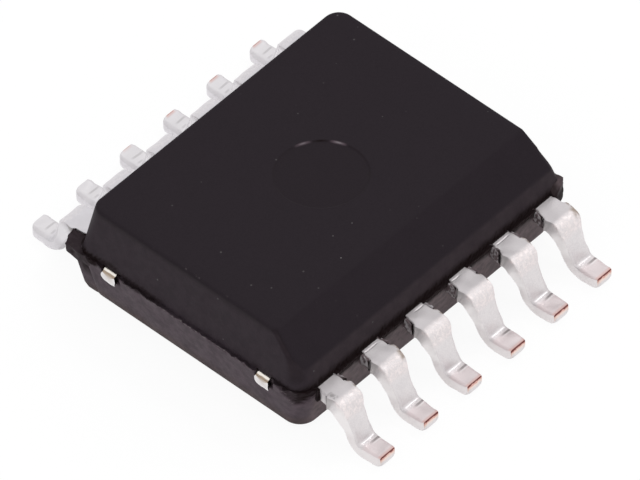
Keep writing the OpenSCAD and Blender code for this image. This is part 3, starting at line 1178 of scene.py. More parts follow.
    def at_leads(self, rings: np.ndarray, facing: np.ndarray, leads: list[LeadPlace]) -> np.ndarray:
        """Finds where a lead leaves the block.

        Args:
            rings: The block's outlines.
            facing: Outward directions round an outline.
            leads: Where the leads stand.

        Returns:
            1 at a lead and 0 away from one, for each point.
        """
        result = np.zeros(rings.shape[:2])
        for row in Row:
            middles = np.array([lead.y for lead in leads if lead.row is row])
            away = np.abs(rings[..., 1, None] - middles).min(axis=-1)
            there = step(facing[:, 0] * row.value, 0.9, 1)
            result = np.maximum(result, there * (1 - step(away, self.lead_half, self.lead_half + 0.015)))
        return result

    def shell(self, leads: list[LeadPlace]) -> Surface:
        """The whole block as one skin, with the ledge dipped at tie bars and leads and its rim left ragged.

        Args:
            leads: Where the leads leave it.

        Returns:
            The skin.
        """
        upper, lower = self.upper_rings(), self.lower_rings()
        ledge = between(upper[-1], lower[0], 0.35, 0.7)
        top_face, under = self.mark_rings(upper[0]), self.under_rings(lower[-1])
        rings = np.concatenate([top_face, upper, ledge, lower, under])
        lower_start = len(top_face) + len(upper) + len(ledge)
        rim_start = len(top_face) + len(upper) - 2
        rim, below = np.zeros(len(rings)), np.zeros(len(rings))
        rim[rim_start:rim_start + len(self.rim_ragged)] = self.rim_ragged
        below[lower_start:lower_start + len(lower)] = 1
        facing = np.concatenate([ring_facing(self.arc, self.sides), np.zeros((rings.shape[1], 1))], axis=-1)
        marks = self.marks(rings, facing, below[:, None])
        ragged = 0.004 + 0.008 * step(-facing[:, 1], 0.3, 0.9)
        rough = 0.6 * lumps(rings, 0.22, Seed.RIM_WIDE) + 0.5 * lumps(rings, 0.07, Seed.RIM_FINE)
        chip = self.chipped(rings) * (0.7 + 0.4 * lumps(rings, 0.10, Seed.CHIP_DEPTH))
        chip = np.maximum(chip + self.beside_bars(rings, facing), 0)
        inward = chip * np.maximum(below, rim)[:, None] * self.chip_depth
        rings = rings + facing * (ragged * rim[:, None] * rough - inward)[..., None]
        rings[..., 2] += 0.005 * rim[:, None] * lumps(rings, 0.15, Seed.RIM_HEIGHT)
        from_bar = np.abs(np.abs(rings[..., 0]) - self.tie_offset)
        at_bar = 1 - step(from_bar, self.tie_half - 0.02, self.tie_half)
        at_bar = at_bar * step(np.abs(facing[:, 1]), 0.9, 1)
        rings[..., 2] = self.dipped(rings[..., 2], at_bar, *self.tie_dip)
        rings[..., 2] = self.dipped(rings[..., 2], self.at_leads(rings, facing, leads), *self.lead_dip)
        return loft(rings, marks)

    def chipped(self, rings: np.ndarray) -> np.ndarray:
        """Finds where the lower half is chipped under its rim, round the front corner.

        The chip's height goes by the place round the corner, and is greatest just before its middle.

        Args:
            rings: The block's outlines.

        Returns:
            1 in the chip and 0 outside it, for each point.
        """
        x, y, z = np.moveaxis(rings, -1, 0)
        places, heights = np.array(self.chip_heights).T
        height = np.interp(self.chip_heading[0] * x + self.chip_heading[1] * y, places, heights)
        foot = self.parting - height
        foot = foot + 0.02 * lumps(rings, 0.09, Seed.CHIP_WIDE) + 0.012 * lumps(rings, 0.04, Seed.CHIP_FINE)
        near = step(x, *self.chip_from) * (1 - step(y, *self.chip_to))
        return near * step(z, foot - 0.035, foot + 0.03)

    def beside_bars(self, rings: np.ndarray, facing: np.ndarray) -> np.ndarray:
        """Finds where a gap runs down beside a tie bar's cut end, wider on its right.

        Args:
            rings: The block's outlines.
            facing: Outward directions round an outline.

        Returns:
            1 in a gap and 0 outside it, for each point.
        """
        x, z = rings[..., 0] * -facing[:, 1], rings[..., 2]
        past = np.minimum(np.abs(x - self.tie_offset), np.abs(x + self.tie_offset))
        right = np.where(np.abs(x - self.tie_offset) < 0.5, x - self.tie_offset, x + self.tie_offset)
        gap_end = self.tie_half + np.where(right > 0, self.tie_gap, self.tie_gap / 2)
        in_gap = 1 - step(past - gap_end, -0.015, 0)
        at_end = step(z, *self.tie_gap_from) * (1 - step(z, self.parting + 0.005, self.parting + 0.02))
        return in_gap * at_end * step(np.abs(facing[:, 1]), 0.9, 1)

    def marks(self, rings: np.ndarray, facing: np.ndarray, below: np.ndarray) -> np.ndarray:
        """The finish's three numbers: sooty dirt with painted shade, freshly broken spots with painted
        glints, and the lower half's skin painted lighter, or a painted highlight.

        On the front end the parting line's sooty dirt and painted shade fade out from the left to the middle,
        are thin right of the middle, and are thick from there to the corner.

        Args:
            rings: The block's outlines.
            facing: Outward directions round an outline.
            below: 1 for the lower half's outlines.

        Returns:
            The numbers, as ring, point round the ring, number.
        """
        x, y, z = np.moveaxis(rings, -1, 0)
        front, bevel_side = step(-facing[:, 1], 0.75, 0.95), step(facing[:, 0], 0.7, 0.95)
        left = 1 - step(x, *self.soot_and_shade_left)
        right = np.maximum(0.55 * step(x, *self.thin_soot_and_shade_from), step(x, *self.thick_soot_and_shade_from))
        along = 1 - front * (1 - np.maximum(left, right))
        # The parting line's dark band: sooty dirt and painted shade under the upper half's overhang.
        soot_and_shade = along * self.seam_soot_and_shade(rings, front, left, bevel_side)
        # Painted shade in the gap beside each tie bar's cut end.
        soot_and_shade = np.maximum(soot_and_shade, self.beside_bars(rings, facing))
        chip_line = bump(self.chipped(rings), 0.22, 0.20)
        # Painted reflection of a dark surround: a dark band below the front top edge, and on the upper corner
        # by the bevel.
        corner = step(facing[:, 0], 0.1, 0.4) * step(-facing[:, 1], 0.3, 0.6) * step(z, 0.90, 1.0)
        outside = step(-y, 1.5, 2.0) * (1 - step(z, self.top - 0.03, self.top - 0.003))
        under_edge = outside * np.maximum(0.28 * front * bump(z, self.top - 0.055, 0.055), 0.35 * corner)
        soot_and_shade = np.maximum(soot_and_shade * (1 - 0.7 * chip_line), under_edge)
        mark_shade, glint = self.mark_tones(rings)
        soot_and_shade = np.maximum(soot_and_shade * (0.9 + 0.1 * lumps(rings, 0.05, Seed.SOOT_TONE)), mark_shade)
        # Painted glints: a light line on the rim where the seam is not dark, and along the front top edge.
        rim_glint = (1 - along) * step(z, self.parting - 0.03, self.parting - 0.015)
        edge_glint = 0.3 * front * bump(z, self.top, 0.012) * step(-y, 2.236, 2.244)
        edge_glint = edge_glint * step(lumps(rings, 0.6, Seed.EDGE_LINE), 0.6, 0.9)
        fresh_and_glint = np.maximum(np.maximum(rim_glint, chip_line) * below, edge_glint)
        # Painted light: the upper walls take a little of the paler skin, less on the bevelled side.
        wall_top = self.top - 0.02 - (self.bevel - 0.02) * bevel_side
        paler = (0.20 - 0.06 * bevel_side) * (1 - step(z, wall_top - 0.06, wall_top))
        # Painted highlight: the mark's two glints, as a shine number from 1 to 2.
        shiny = (0.75 + 0.68 * glint) * step(glint, 0, 0.35)
        # Third number: the lower half's skin painted lighter, the walls' painted light, or the mark's painted
        # highlight.
        return np.stack([soot_and_shade, fresh_and_glint, np.maximum(np.maximum(below, paler), shiny)], axis=-1)

    def seam_soot_and_shade(self, rings: np.ndarray, front: np.ndarray, left: np.ndarray,
                  bevel_side: np.ndarray) -> np.ndarray:
        """Sooty dirt and painted shade on the parting line's ledge, from where they creep a little up and
        down.

        Args:
            rings: The block's outlines.
            front: 1 on the front end.
            left: 1 on the left part of it.
            bevel_side: 1 on the bevelled side.

        Returns:
            The sooty dirt and painted shade at each point, from 0 to 1.
        """
        x, _, z = np.moveaxis(rings, -1, 0)
        uneven = 0.018 * lumps(rings, 0.07, Seed.SOOT_FINE) + 0.012 * lumps(rings, 0.20, Seed.SOOT_WIDE)
        ragged = z + (1 - 0.4 * bevel_side) * uneven
        by_gate = front * (1 - step(x, *self.gate_soot_and_shade_to))
        reach = self.parting - 0.012 - 0.010 * front * left - 0.09 * by_gate - 0.105 * bevel_side
        soft = 0.02 + 0.045 * bevel_side
        down = np.maximum(step(ragged, reach - soft, reach + soft), self.chipped(rings))
        at_bars = bump(np.abs(np.abs(x) - self.tie_offset), 0.0, 0.35)
        rise = self.parting + 0.012 + front * (0.022 * left + 0.04 * at_bars) + 0.012 * bevel_side
        up = 1 - step(ragged, rise - 0.005, rise + 0.05 + 0.04 * bevel_side)
        at_seam = step(z, *self.seam_from) * (1 - step(z, *self.seam_to))
        return (1 - 0.25 * front * (1 - by_gate)) * at_seam * np.where(z > self.parting + 0.001, up, down)

    def mark_tones(self, rings: np.ndarray) -> tuple[np.ndarray, np.ndarray]:
        """Tones of the ejector mark: a darker disc, and painted shade blackest at its back rim between two
        painted highlight arcs.

        Args:
            rings: The block's outlines.

        Returns:
            The darker disc with its rim's painted shade, and the painted highlight, at each point.
        """
        x, y, z = np.moveaxis(rings - (*self.mark_centre, 0), -1, 0)
        past = np.where(z > self.top - 0.02, np.hypot(x, y) - self.mark_edge(np.arctan2(y, x)), 1)
        angle = np.degrees(np.arctan2(y, x))
        disc = 1 - step(past, -0.02, 0)
        rim = bump(past, -0.012, 0.026)
        glint = rim * (bump(angle, 111, 15) + 0.85 * bump(angle, 157, 15))
        rim_shade = rim * np.maximum(0.9 * bump(angle, 134, 16), 0.2)
        return np.maximum(0.10 * disc, rim_shade) * (1 - glint), glint

    def corner_rings(self, z: np.ndarray, out: np.ndarray, past: np.ndarray, most: float,
                     rounding: np.ndarray, root: float, tuck: float) -> np.ndarray:
        """Outlines of what is left in a corner of the parting line, outside the end lead, at heights.

        An outline is cut off by a slanted line across the corner. Its corners are rounded by
        averaging each point with its neighbours.

        Args:
            z: The heights.
            out: How far each outline stands out past the rim, across the leads.
            past: How far it stands out past the end.
            most: How far the slanted line stands out beside the lead.
            rounding: How rounded each outline is, from 0 to 1.
            root: How far it reaches into the body, across the leads.
            tuck: How far its root is drawn in at the end.

        Returns:
            Points as ring, point round the ring, axis.
        """
        same = np.ones_like(z)
        fall = self.corner_slant / (self.corner_length + self.flash_past)
        side_end = np.minimum(past, (most - out) / fall - self.corner_length)
        end_out = np.minimum(out, most - fall * (past + self.corner_length))
        corners = np.stack([
            np.stack([-root * same, -self.corner_length * same], -1),
            np.stack([out, -self.corner_length * same], -1),
            np.stack([out, side_end], -1),
            np.stack([end_out, past], -1),
            np.stack([-root * same, past - tuck], -1),
        ], axis=1)
        flat = polygon_rings(corners, self.corner_steps)
        smooth = flat
        for _ in range(60):
            smooth = (np.roll(smooth, 1, axis=1) + 2 * smooth + np.roll(smooth, -1, axis=1)) / 4
        flat = flat + (smooth - flat) * rounding[:, None, None] + (self.half_width, self.half_length)
        return lifted(flat, z)

    @staticmethod
    def broken(rings: np.ndarray, seed: int, depth: np.ndarray | float) -> np.ndarray:
        """Outlines with a broken skin, by coarse and by fine lumps, to a depth that each outline may have."""
        shift = pushes(rings, 0.16, seed) + 0.4 * pushes(rings, 0.05, seed + 3)
        return rings + np.reshape(depth, (-1, 1, 1)) * shift

    def gate(self) -> Surface:
        """The gate beside the last lead: it slopes out from the underside to the strip, and is broken there.

        Returns:
            The gate.
        """
        lean = math.tan(self.lower_draft)
        low = self.lead_top - self.strip
        foot = self.gate_foot - (self.parting - self.underside) * lean
        base = self.underside
        knots = [base + self.gate_lift, base + 0.07, low - 0.03, low + 0.06, self.lead_top]
        outs = [foot - 0.05, foot + 0.004, foot + self.gate_lean, self.gate_out, self.gate_out]
        z = np.concatenate([np.linspace(a, b, 9)[:-1] for a, b in zip(knots, knots[1:])] + [[self.lead_top]])
        out = np.interp(z, knots, outs)
        lowest = (self.underside - self.parting) * lean + self.end_foot
        past = np.interp(z, [self.underside, self.lead_top], [lowest, 0]) - 0.005
        above = step(z, low - 0.04, low + 0.06)
        rings = self.corner_rings(z, out, past, self.gate_out, 1 - 0.9 * above, self.gate_root, 0)
        rings = self.broken(rings, Seed.GATE, 0.006 * above)
        soot_and_shade = 0.78 * step(z, low - 0.30, low - 0.10)[:, None]
        soot_and_shade = soot_and_shade * (0.85 + 0.15 * lumps(rings, 0.16, Seed.GATE_TONE))
        fresh_and_glint = np.broadcast_to(0.15 * above[:, None], soot_and_shade.shape)
        return loft(rings, np.stack([soot_and_shade, fresh_and_glint, np.ones_like(soot_and_shade)], axis=-1)).turned(Row.SECOND)

    def flash(self) -> Surface:
        """The flash beside the first row's last lead: as thick as the strip, and it climbs the upper corner.

        Returns:
            The flash.
        """
        z = np.linspace(self.lead_top - self.strip - 0.03, self.lead_top + self.flash_rise, 10)
        climb = step(z, self.lead_top - 0.02, self.lead_top + self.flash_rise)
        out, past = self.flash_out - 0.10 * climb, self.flash_past - 0.03 * climb
        rounding = np.full_like(z, 0.5)
        rings = self.corner_rings(z, out, past, self.flash_out, rounding, self.flash_root, self.flash_past)
        rings = self.broken(rings, Seed.FLASH, 0.004)
        # Painted shade on the flash's inner part, its lower part and next to the lead.
        inner = 1 - step(rings[..., 0], self.half_width - 0.26, self.half_width - 0.16)
        upper = step(rings[..., 2], self.lead_top - 0.08, self.lead_top + 0.06)
        near_lead = 1 - step(rings[..., 1], self.half_length - 0.20, self.half_length - 0.08)
        soot_and_shade = np.maximum(0.8 * inner, 0.75 * np.maximum(1 - upper, near_lead))
        return loft(rings, np.stack([soot_and_shade, 0.15 * upper, 0.25 + 0.45 * upper], axis=-1))

    def web(self, lead: LeadPlace, side: int, seed: int) -> Surface:
        """Resin beside a lead's shoulder: a thin slab from the wall out to the dam bar's stub.

        Outside the end leads it is short and dark.

        Args:
            lead: Where the lead stands.
            side: On which side of it, 1 or -1.
            seed: Where its random draws start.

        Returns:
            The slab.
        """
        middle = lead.row.value * lead.y
        outside = side * middle > self.half_length - self.corner_length - 0.5
        start = self.half_width - self.web_root
        end = self.half_width + (self.end_web_out if outside else self.web_out)
        corners = np.stack([(start, end, end - 0.005, start), self.web_sides], axis=-1) * (1, side)
        z = np.linspace(self.lead_top - self.strip + 0.01, self.lead_top - 0.010, 7)
        flat = polygon_rings(np.repeat(corners[None], len(z), axis=0), self.corner_steps) + (0, middle)
        rings = self.broken(lifted(flat, z), seed, 0.005)
        # Painted shade along the web's outer end; the face is painted lighter against the shade it lies in,
        # with painted highlight spots.
        soot_and_shade = np.maximum(step(rings[..., 0], end - 0.008, end - 0.003), 0.9 * outside)
        fresh_and_glint = (0.6 + 0.4 * bump(rings[..., 0], end - 0.06, 0.07)) * (1 - soot_and_shade)
        shine = 1 + 0.85 * step(lumps(rings, 0.06, seed + 9), -0.3, 0.6) * (1 - soot_and_shade)
        return loft(rings, np.stack([soot_and_shade, fresh_and_glint, shine], axis=-1)).turned(lead.row)

    def build(self, leads: list[LeadPlace], finish: bpy.types.Material) -> None:
        """Makes the body's one piece.

        Args:
            leads: Where the leads leave the body.
            finish: The moulding compound.
        """
        webs = [
            self.web(lead, side, Seed.WEBS + 20 * number + side)
            for number, lead in enumerate(leads) for side in (-1, 1)
        ]
        piece = self.shell(leads).joined(self.gate(), self.flash(), *webs).to_object("body_moulding", 35)
        dress(piece, finish, Slot.MOULD, "moulded_body")


@dataclass
class GullWingLead:
    """A formed lead: shoulder, knee with the dam bar's stubs, leg, heel, and foot with its cut tip.

    outline holds the half widths on the near and on the far side by the distance from the tip, measured
    along the upper side. A field that ends in _from or _to gives two such distances, between which
    something comes or goes. scratches says from where to where across the strip each lead of a row is
    scratched, from -1 to 1, and 2 is none.
    """

    inner_end: float = 1.565
    finger_end: float = 1.765
    neck: float = 1.815
    crease: float = 2.0
    crease_half: float = 0.016
    crease_depth: float = 0.008
    stub_start: float = 2.1455
    stub_step: float = 0.0075
    knee: float = 2.41
    knee_outer: float = 0.20
    knee_inner: float = 0.12
    heel: float = 2.62
    heel_outer: float = 0.36
    heel_inner: float = 0.045
    foot_flat: float = 2.77
    foot_rise: float = 0.003
    tip: float = 2.98
    tip_edge: float = 0.08
    top: float = 0.80
    strip: float = 0.21
    outline: tuple[Band, ...] = (
        (0.0, 0.120, 0.128), (0.02, 0.136, 0.140), (0.05, 0.148, 0.147), (0.12, 0.155, 0.150),
        (0.25, 0.162, 0.152), (0.34, 0.165, 0.155), (0.40, 0.166, 0.157), (0.46, 0.167, 0.149),
        (0.53, 0.169, 0.141), (0.60, 0.175, 0.138), (0.72, 0.188, 0.140), (0.80, 0.193, 0.144),
        (0.87, 0.196, 0.161), (0.93, 0.198, 0.184), (0.98, 0.197, 0.189), (1.042, 0.195, 0.193),
        (1.108, 0.194, 0.205), (1.152, 0.202, 0.211), (1.194, 0.208, 0.205), (1.207, 0.195, 0.175),
        (1.258, 0.176, 0.168), (1.332, 0.165, 0.166), (1.382, 0.147, 0.150), (1.53, 0.165, 0.165),
        (1.58, 0.250, 0.250),
    )
    flare: float = 0.02
    flare_from: Span = (0.75, 0.90)
    flare_to: Span = (1.194, 1.207)
    edge: float = 0.018
    foot_edge: float = 0.04
    foot_edge_to: Span = (0.45, 0.95)
    under_edge: float = 0.06
    under_edge_to: Span = (0.50, 0.80)
    tip_upper: float = 0.03
    tip_lower: float = 0.075
    tip_length: float = 0.12
    tip_round: float = 0.01
    uneven: float = 0.004
    scratches: tuple[Span, ...] = (
        (2.0, 2.0), (-0.75, 0.35), (0.0, 0.7), (-0.85, -0.15), (-0.6, 0.5), (2.0, 2.0),
    )
    arc: int = 12
    tip_steps: int = 9
    section_arc: int = 6
    section_sides: tuple[int, ...] = (9, 5, 9, 5)

    @classmethod
    def rounder(cls) -> "GullWingLead":
        """The second row's lead, whose foot has rounder edges and a rounder corner."""
        return cls(foot_edge=0.075, tip_round=0.06)

    def inside(self, z: float) -> float:
        """Where the inside of the leg lies at a height."""
        lean = math.atan2(self.heel - self.knee, self.top - self.strip)
        return self.heel + (self.strip - z) * math.tan(lean) - self.strip / math.cos(lean)

    def lines(self) -> tuple[np.ndarray, np.ndarray]:
        """The upper and the under line seen along the row, station by station, from the inner end to the tip.

        The tip's lower edge is a quarter circle, at equal steps of its angle.

        Returns:
            Both lines, as station, two axes.
        """
        low = self.top - self.strip
        groove = 1.25 * self.crease_half
        shoulder = (
            (self.inner_end, 2), (self.finger_end, 2), (self.neck, 5),
            (self.crease - groove, 14), (self.crease + groove, 6),
            (self.stub_start - self.stub_step, 1), (self.stub_start + self.stub_step, 7),
        )
        upper, under = ([Corner(x, z, 0, steps) for x, steps in shoulder] for z in (self.top, low))
        foot_end = self.tip - self.tip_edge
        upper += [
            Corner(self.knee, self.top, self.knee_outer, 10),
            Corner(self.heel, self.strip, self.heel_inner, 6),
            Corner(self.foot_flat, self.strip, 0, 10),
            Corner(foot_end, self.strip, 0, 1),
        ]
        under += [
            Corner(self.inside(low), low, self.knee_inner, 10),
            Corner(self.inside(0), 0, self.heel_outer, 6),
            Corner(self.foot_flat, 0, 0, 10),
            Corner(foot_end, self.foot_rise, 0, 1),
        ]
        angle = np.linspace(0, QUARTER, self.tip_steps)[1:]
        ahead = foot_end + self.tip_edge * np.sin(angle)
        rise = self.foot_rise + self.tip_edge * (1 - np.cos(angle))
        level = np.full_like(ahead, self.strip)
        tops = np.concatenate([bent_line(upper, self.arc), np.stack([ahead, level], -1)])
        unders = np.concatenate([bent_line(under, self.arc), np.stack([ahead, rise], -1)])
        return tops, unders

    def sections(self, along: np.ndarray, at_tip: np.ndarray) -> tuple[np.ndarray, np.ndarray]:
        """The strip's sections: rounded rectangles, as wide as the outline says.

        Seen from above, the tip's far corner is a quarter circle.

        Args:
            along: Distance of each station from the tip.
            at_tip: How near it is to the tip, from 0 to 1.

        Returns:
            Points as station, point round the section, two axes, and each point's share across.
        """
        stations, *halves = np.array(self.outline).T
        near, far = (np.interp(along, stations, half) for half in halves)
        far = far - self.tip_round * (1 - np.sqrt(1 - np.clip(1 - along / self.tip_round, 0, 1) ** 2))
        upper, lower = (
            self.edge + (foot - self.edge) * (1 - step(along, *ends))
            for foot, ends in ((self.foot_edge, self.foot_edge_to), (self.under_edge, self.under_edge_to))
        )
        upper = upper + (self.tip_upper - upper) * at_tip
        lower = lower + (self.tip_lower - lower) * at_tip
        thick = np.full_like(far, self.strip / 2)
        low, high = np.stack([-near, -thick], -1), np.stack([far, thick], -1)
        radii = np.stack([upper, upper, lower, lower], axis=-1)
        section = rounded_rings(low, high, radii, self.section_arc, self.section_sides)
        return section, section[..., 0] / np.where(section[..., 0] < 0, near[:, None], far[:, None])

    def skin(self, seed: int, scratch: Span) -> Surface:
        """The strip's section carried along the two lines.

        On the near side it is wider below where the dam bar was, by the flare.

        Args:
            seed: Where the random draws start that make this lead a little uneven.
            scratch: Where the shoulder's scratch starts and ends across the strip, from -1 to 1.

        Returns:
            The lead of the first row, at the middle of the row.
        """
        tops, unders = self.lines()
        length = np.concatenate([[0], np.cumsum(np.linalg.norm(np.diff(tops, axis=0), axis=1))])
        along = length[-1] - length
        at_tip = step(tops[:, 0], self.tip - self.tip_length, self.tip)
        section, across = self.sections(along, at_tip)
        share = section[..., 1:] / self.strip + 0.5
        flat = unders[:, None] + (tops - unders)[:, None] * share
        at_stub = step(along, *self.flare_from) * (1 - step(along, *self.flare_to))
        flare = self.flare * at_stub[:, None] * (1 - share[..., 0]) * (section[..., 0] < 0)
        rings = np.stack([flat[..., 0], section[..., 0] - flare, flat[..., 1]], axis=-1)
        through = section[..., 1] * 2 / self.strip
        place = np.stack([along[:, None] * np.ones_like(across), across, through], axis=-1)
        shift = pushes(rings + seed, 0.30, seed)
        loose = step(tops[:, 0], 1.9, 2.1) * (1 - at_tip)
        pressed = step(across - scratch[0], -0.1, 0.1) * (1 - step(across - scratch[1], -0.1, 0.1))
        pressed = pressed * step(through, 0.3, 0.9)
        groove = bump(rings[..., 0], self.crease, self.crease_half) * step(rings[..., 2], 0.7, 0.75)
        rings = rings + self.uneven * shift * loose[:, None, None]
        rings[..., 2] = np.maximum(rings[..., 2] - self.crease_depth * pressed * groove, 0)
        return loft(rings, place)

    def build(self, lead: LeadPlace, number: int, finish: bpy.types.Material) -> None:
        """Makes one lead in its place.

        Args:
            lead: Where it stands.
            number: Its number round the package, from 0.
            finish: The tin plate.
        """
        scratch = self.scratches[number % len(self.scratches)]
        skin = self.skin(Seed.LEADS + 3 * number, scratch)
        skin = skin.moved((0, lead.row.value * lead.y, 0)).turned(lead.row)
        dress(skin.to_object(f"formed_{lead.node}", 40), finish, Slot.TIN, lead.node)


@dataclass
class DiePaddle:
    """The die paddle: the face that shows underneath, its keyed rim and the four tie bars."""

    half: Span = (1.2, 1.85)
    rim_half: Span = (1.415, 1.9)
    corner: float = 0.02
    base: float = 0.05
    strip: float = 0.21
    lead_top: float = 0.80
    tie_offset: float = 1.31
    tie_half: float = 0.105
    tie_climb: float = 0.30
    tie_bend: float = 0.1
    tie_end: float = 2.46
    end_height: float = 0.15
    end_corner: float = 0.07
    end_flare: float = 0.022
    end_slope: float = 0.025
    edge: float = 0.012

    def plate(self) -> Surface:
        """The stepped plate: rounded outlines from its face up, with its rim keyed out half way up.

        Returns:
            The plate.
        """
        low, middle, high = self.base + self.strip * np.array([0, 0.5, 1])
        small, wide = np.array(self.half), np.array(self.rim_half)
        levels = (
            (low, small * 0.5), (low, small - self.edge), (low + self.edge / 2, small - self.edge / 4),
            (low + self.edge, small), (middle, small), (middle, wide), (high, wide), (high, wide * 0.5),
        )
        z, half = (np.array(column) for column in zip(*levels))
        flat = rounded_rings(-half, half, np.full((len(z), 4), self.corner), 4, (40, 60, 40, 60))
        return loft(lifted(flat, z))

    def tie_bar(self, x: float, seed: int) -> Surface:
        """A tie bar at the +Y end: a rounded section carried along its climb and out to its cut end.

        The cut has drawn its end up from below, sloped its upper edge and rounded one lower corner.

        Args:
            x: The bar's place across the package.
            seed: Where the random draws start that smear its end.

        Returns:
            The bar.
        """
        start, high = self.rim_half[1] - self.strip / 2, self.base + self.strip
        slope_end = self.lead_top - self.end_slope
        upper = bent_line([
            Corner(start - 0.2, high, 0, 2),
            Corner(start, high, self.tie_bend, 6),
            Corner(start + self.tie_climb, self.lead_top, self.tie_bend, 8),
            Corner(self.tie_end - 0.08, self.lead_top, 0, 4),
            Corner(self.tie_end - 0.046, self.lead_top, 0, 8),
            Corner(self.tie_end - 0.010, slope_end, 0, 2),
            Corner(self.tie_end, slope_end - 0.003, 0, 1),
        ], 8)
        drawn = step(upper[:, 0], self.tie_end - 0.07, self.tie_end - 0.02)
        drop = self.strip + (self.end_height - self.strip) * drawn
        drop = np.where(upper[:, 0] < start, self.strip / 2, drop)
        half = np.stack([np.full(len(upper), self.tie_half), drop / 2], axis=-1)
        radii = np.full((len(upper), 4), self.edge)
        radii[:, 3] += (self.end_corner - self.edge) * drawn
        section = rounded_rings(-half, half, radii, 5, (10, 8, 10, 8))
        rise = section[..., 1] / drop[:, None]
        flare = step(0.5 - rise, 0.05, 0.4) * step(section[..., 0], 0.0, self.tie_half)
        rings = np.stack([
            section[..., 0] + x + self.end_flare * drawn[:, None] * flare,
            np.broadcast_to(upper[:, None, 0], section.shape[:2]),
            upper[:, None, 1] - drop[:, None] / 2 + section[..., 1],
        ], axis=-1)
        smear = 0.004 * lumps(rings, 0.12, seed) * step(rings[..., 1], 2.40, 2.45)
        rings[..., 0] += smear
        rings[..., 2] += smear
        # upside: the bar's top, painted highlight in cream; past: the tan line; beside: painted shade on the
        # sides.
        upside = step(rise, 0.40, 0.47)
        past = step(rings[..., 1], self.tie_end - 0.026, self.tie_end - 0.020)
        beside = step(np.abs(section[..., 0]), self.tie_half - 0.008, self.tie_half - 0.002)
        beside[-1] = 0
        return loft(rings, np.stack([upside * (1 - past), upside * past, beside], axis=-1))

    def build(self, finish: bpy.types.Material) -> None:
        """Makes the paddle's one piece.

        Args:
            finish: The paddle's tin.
        """
        bars = [
            self.tie_bar(x, Seed.TIE_BARS + 7 * number + 3 * row.value).turned(row)
            for row in Row for number, x in enumerate((-self.tie_offset, self.tie_offset))
        ]
        dress(self.plate().joined(*bars).to_object("die_paddle", 35), finish, Slot.TIN, "exposed_pad")


@dataclass(frozen=True)
class SealedPieces:
    """What the moulding hides: chip, bond layer and wires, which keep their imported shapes."""

    silicon: PlainFinish = PlainFinish((0.075, 0.078, 0.10), (0.12, 0.125, 0.15), 0.2, 0.6, 0.25)
    bond: PlainFinish = PlainFinish((0.30, 0.30, 0.29), (0.42, 0.42, 0.40), 0.08, 0.4, 0.55)
    wire: PlainFinish = PlainFinish((0.80, 0.52, 0.20), (0.90, 0.64, 0.30), 0.03, 1.0, 0.28)

    def dress(self) -> None:
        """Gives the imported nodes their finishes."""
        finishes = {
            "die": self.silicon.material(Slot.SILICON.value),
            "die_attach": self.bond.material(Slot.BOND.value),
        }
        wires = [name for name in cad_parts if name.startswith("bond_wire_")]
        finishes.update(dict.fromkeys(wires, self.wire.material(Slot.WIRE.value)))
        for node, material in finishes.items():
            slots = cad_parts[node].data.materials
            slots.clear()
            slots.append(material)
            log.info("%s: packed shape, finish %s", node, material.name)


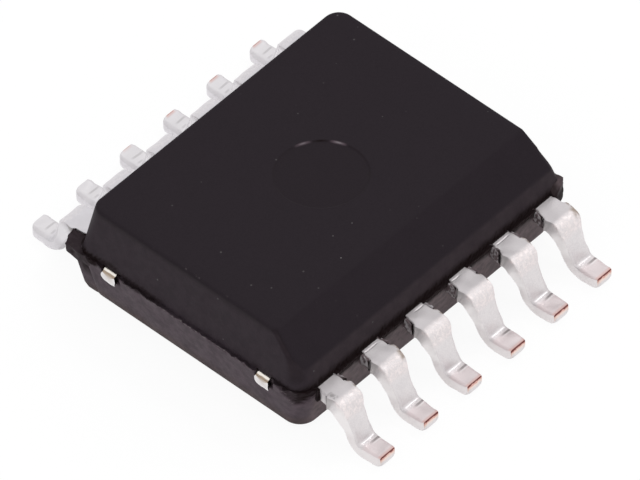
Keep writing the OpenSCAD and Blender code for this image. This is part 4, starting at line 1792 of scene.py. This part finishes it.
@dataclass(frozen=True)
class Studio:
    """A pale floor, soft light from all round, and one soft lamp."""

    sky: Colour = (0.90, 0.90, 0.905)
    low_sky: Colour = (0.78, 0.78, 0.785)
    floor_colour: Colour = (0.90, 0.90, 0.90)
    floor_white: float = 0.90
    floor_glow: float = 1.02
    floor_size: float = 600.0
    floor_drop: float = 0.004
    lamp_toward: tuple[float, float, float] = (0.1, 0.48, 0.87)
    lamp_distance: float = 250.0
    lamp_size: float = 34.0
    lamp_power: float = 0.06

    def world(self) -> None:
        """Soft light from all round, a little dimmer near the horizon."""
        world = bpy.data.worlds.new("studio")
        bpy.context.scene.world = world
        world.use_nodes = True
        tree = Finish(world.node_tree)
        toward = tree.add("ShaderNodeTexCoord").outputs["Generated"]
        height = tree.parted(toward)[2]
        colour = tree.mix(tree.span(height, 0.0, 0.45), self.low_sky, self.sky)
        light = tree.add("ShaderNodeBackground", {"Color": colour})
        tree.add("ShaderNodeOutputWorld", {"Surface": light.outputs[0]})

    def floor(self) -> None:
        """A flat floor that looks white and still keeps part of the shadow."""
        half = self.floor_size / 2
        corners = np.array([(-half, -half), (half, -half), (half, half), (-half, half)])
        mesh = bpy.data.meshes.new("floor")
        points = np.concatenate([corners, np.full((4, 1), -self.floor_drop)], axis=1) * MM
        mesh.from_pydata(points.tolist(), [], [(0, 1, 2, 3)])
        floor = bpy.data.objects.new("floor", mesh)
        bpy.context.collection.objects.link(floor)
        material, tree = new_finish("pale_floor")
        rays = tree.add("ShaderNodeLightPath").outputs
        seen = tree.maths("MAXIMUM", rays["Is Camera Ray"], rays["Is Glossy Ray"])
        seen = tree.maths("MAXIMUM", seen, rays["Is Transmission Ray"])
        paint = tree.add("ShaderNodeBsdfDiffuse", {"Color": shade(self.floor_colour)})
        white = tree.add("ShaderNodeEmission", {"Strength": self.floor_glow})
        feeds = {0: tree.maths("MULTIPLY", seen, self.floor_white), 1: paint.outputs[0], 2: white.outputs[0]}
        tree.surface(tree.add("ShaderNodeMixShader", feeds).outputs[0])
        mesh.materials.append(material)

    def lamp(self) -> None:
        """One soft square lamp, aimed at the origin."""
        data = bpy.data.lights.new("soft_lamp", "AREA")
        data.size = self.lamp_size * MM
        data.energy = self.lamp_power
        lamp = bpy.data.objects.new("soft_lamp", data)
        toward = Vector(self.lamp_toward).normalized()
        lamp.location = toward * self.lamp_distance * MM
        lamp.rotation_mode = "QUATERNION"
        lamp.rotation_quaternion = toward.to_track_quat("Z", "Y")
        bpy.context.collection.objects.link(lamp)

    def build(self) -> None:
        """Makes the floor, the light and the plain view settings."""
        self.world()
        self.floor()
        self.lamp()
        bpy.context.scene.view_settings.view_transform = "Standard"


@dataclass(frozen=True)
class PhotoCamera:
    """The photograph's view: a long lens from the first lead's corner, a little turned about its axis."""

    azimuth: float = math.radians(44.518)
    elevation: float = math.radians(47.717)
    roll: float = math.radians(-2.214)
    aim: tuple[float, float, float] = (-0.2187, 0.2272, 0.0)
    scale: float = 79.646
    lens: float = 1150.0
    sensor: float = 36.0
    image_width: int = 640

    def build(self) -> None:
        """Makes the camera: its distance gives the scale, in pixels of the image to the millimetre."""
        sin_a, cos_a = math.sin(self.azimuth), math.cos(self.azimuth)
        flat = math.cos(self.elevation)
        back = Vector((sin_a * flat, -cos_a * flat, math.sin(self.elevation)))
        level = Vector((cos_a, sin_a, 0))
        upright = back.cross(level)
        right = level * math.cos(self.roll) + upright * math.sin(self.roll)
        axes = Matrix((right, back.cross(right), back)).transposed()
        distance = self.lens / self.sensor * self.image_width / self.scale
        data = bpy.data.cameras.new("photo_camera")
        data.lens, data.sensor_width = self.lens, self.sensor
        camera = bpy.data.objects.new("photo_camera", data)
        camera.matrix_world = Matrix.Translation((Vector(self.aim) + back * distance) * MM) @ axes.to_4x4()
        bpy.context.collection.objects.link(camera)
        bpy.context.scene.camera = camera


def main() -> None:
    """Builds camera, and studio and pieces."""
    logging.basicConfig(level=logging.INFO, format="%(message)s")
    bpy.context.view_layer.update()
    PhotoCamera().build()
    Studio().build()
    names = [f"lead_{number}" for number in range(1, 1 + sum(n.startswith("lead_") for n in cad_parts))]
    leads = [LeadPlace.of(name) for name in names]
    MouldedBody().build(leads, MouldCompound().material())
    tin = {
        Row.FIRST: TinPlate().material("tin_plate"),
        # The second row's tin is a lighter copy, painted light.
        Row.SECOND: TinPlate.pale().material("painted_light_tin_plate"),
    }
    shapes = {Row.FIRST: GullWingLead(), Row.SECOND: GullWingLead.rounder()}
    for number, lead in enumerate(leads):
        shapes[lead.row].build(lead, number, tin[lead.row])
    DiePaddle().build(PaddlePlate().material())
    SealedPieces().dress()


if __name__ == "__main__":
    main()
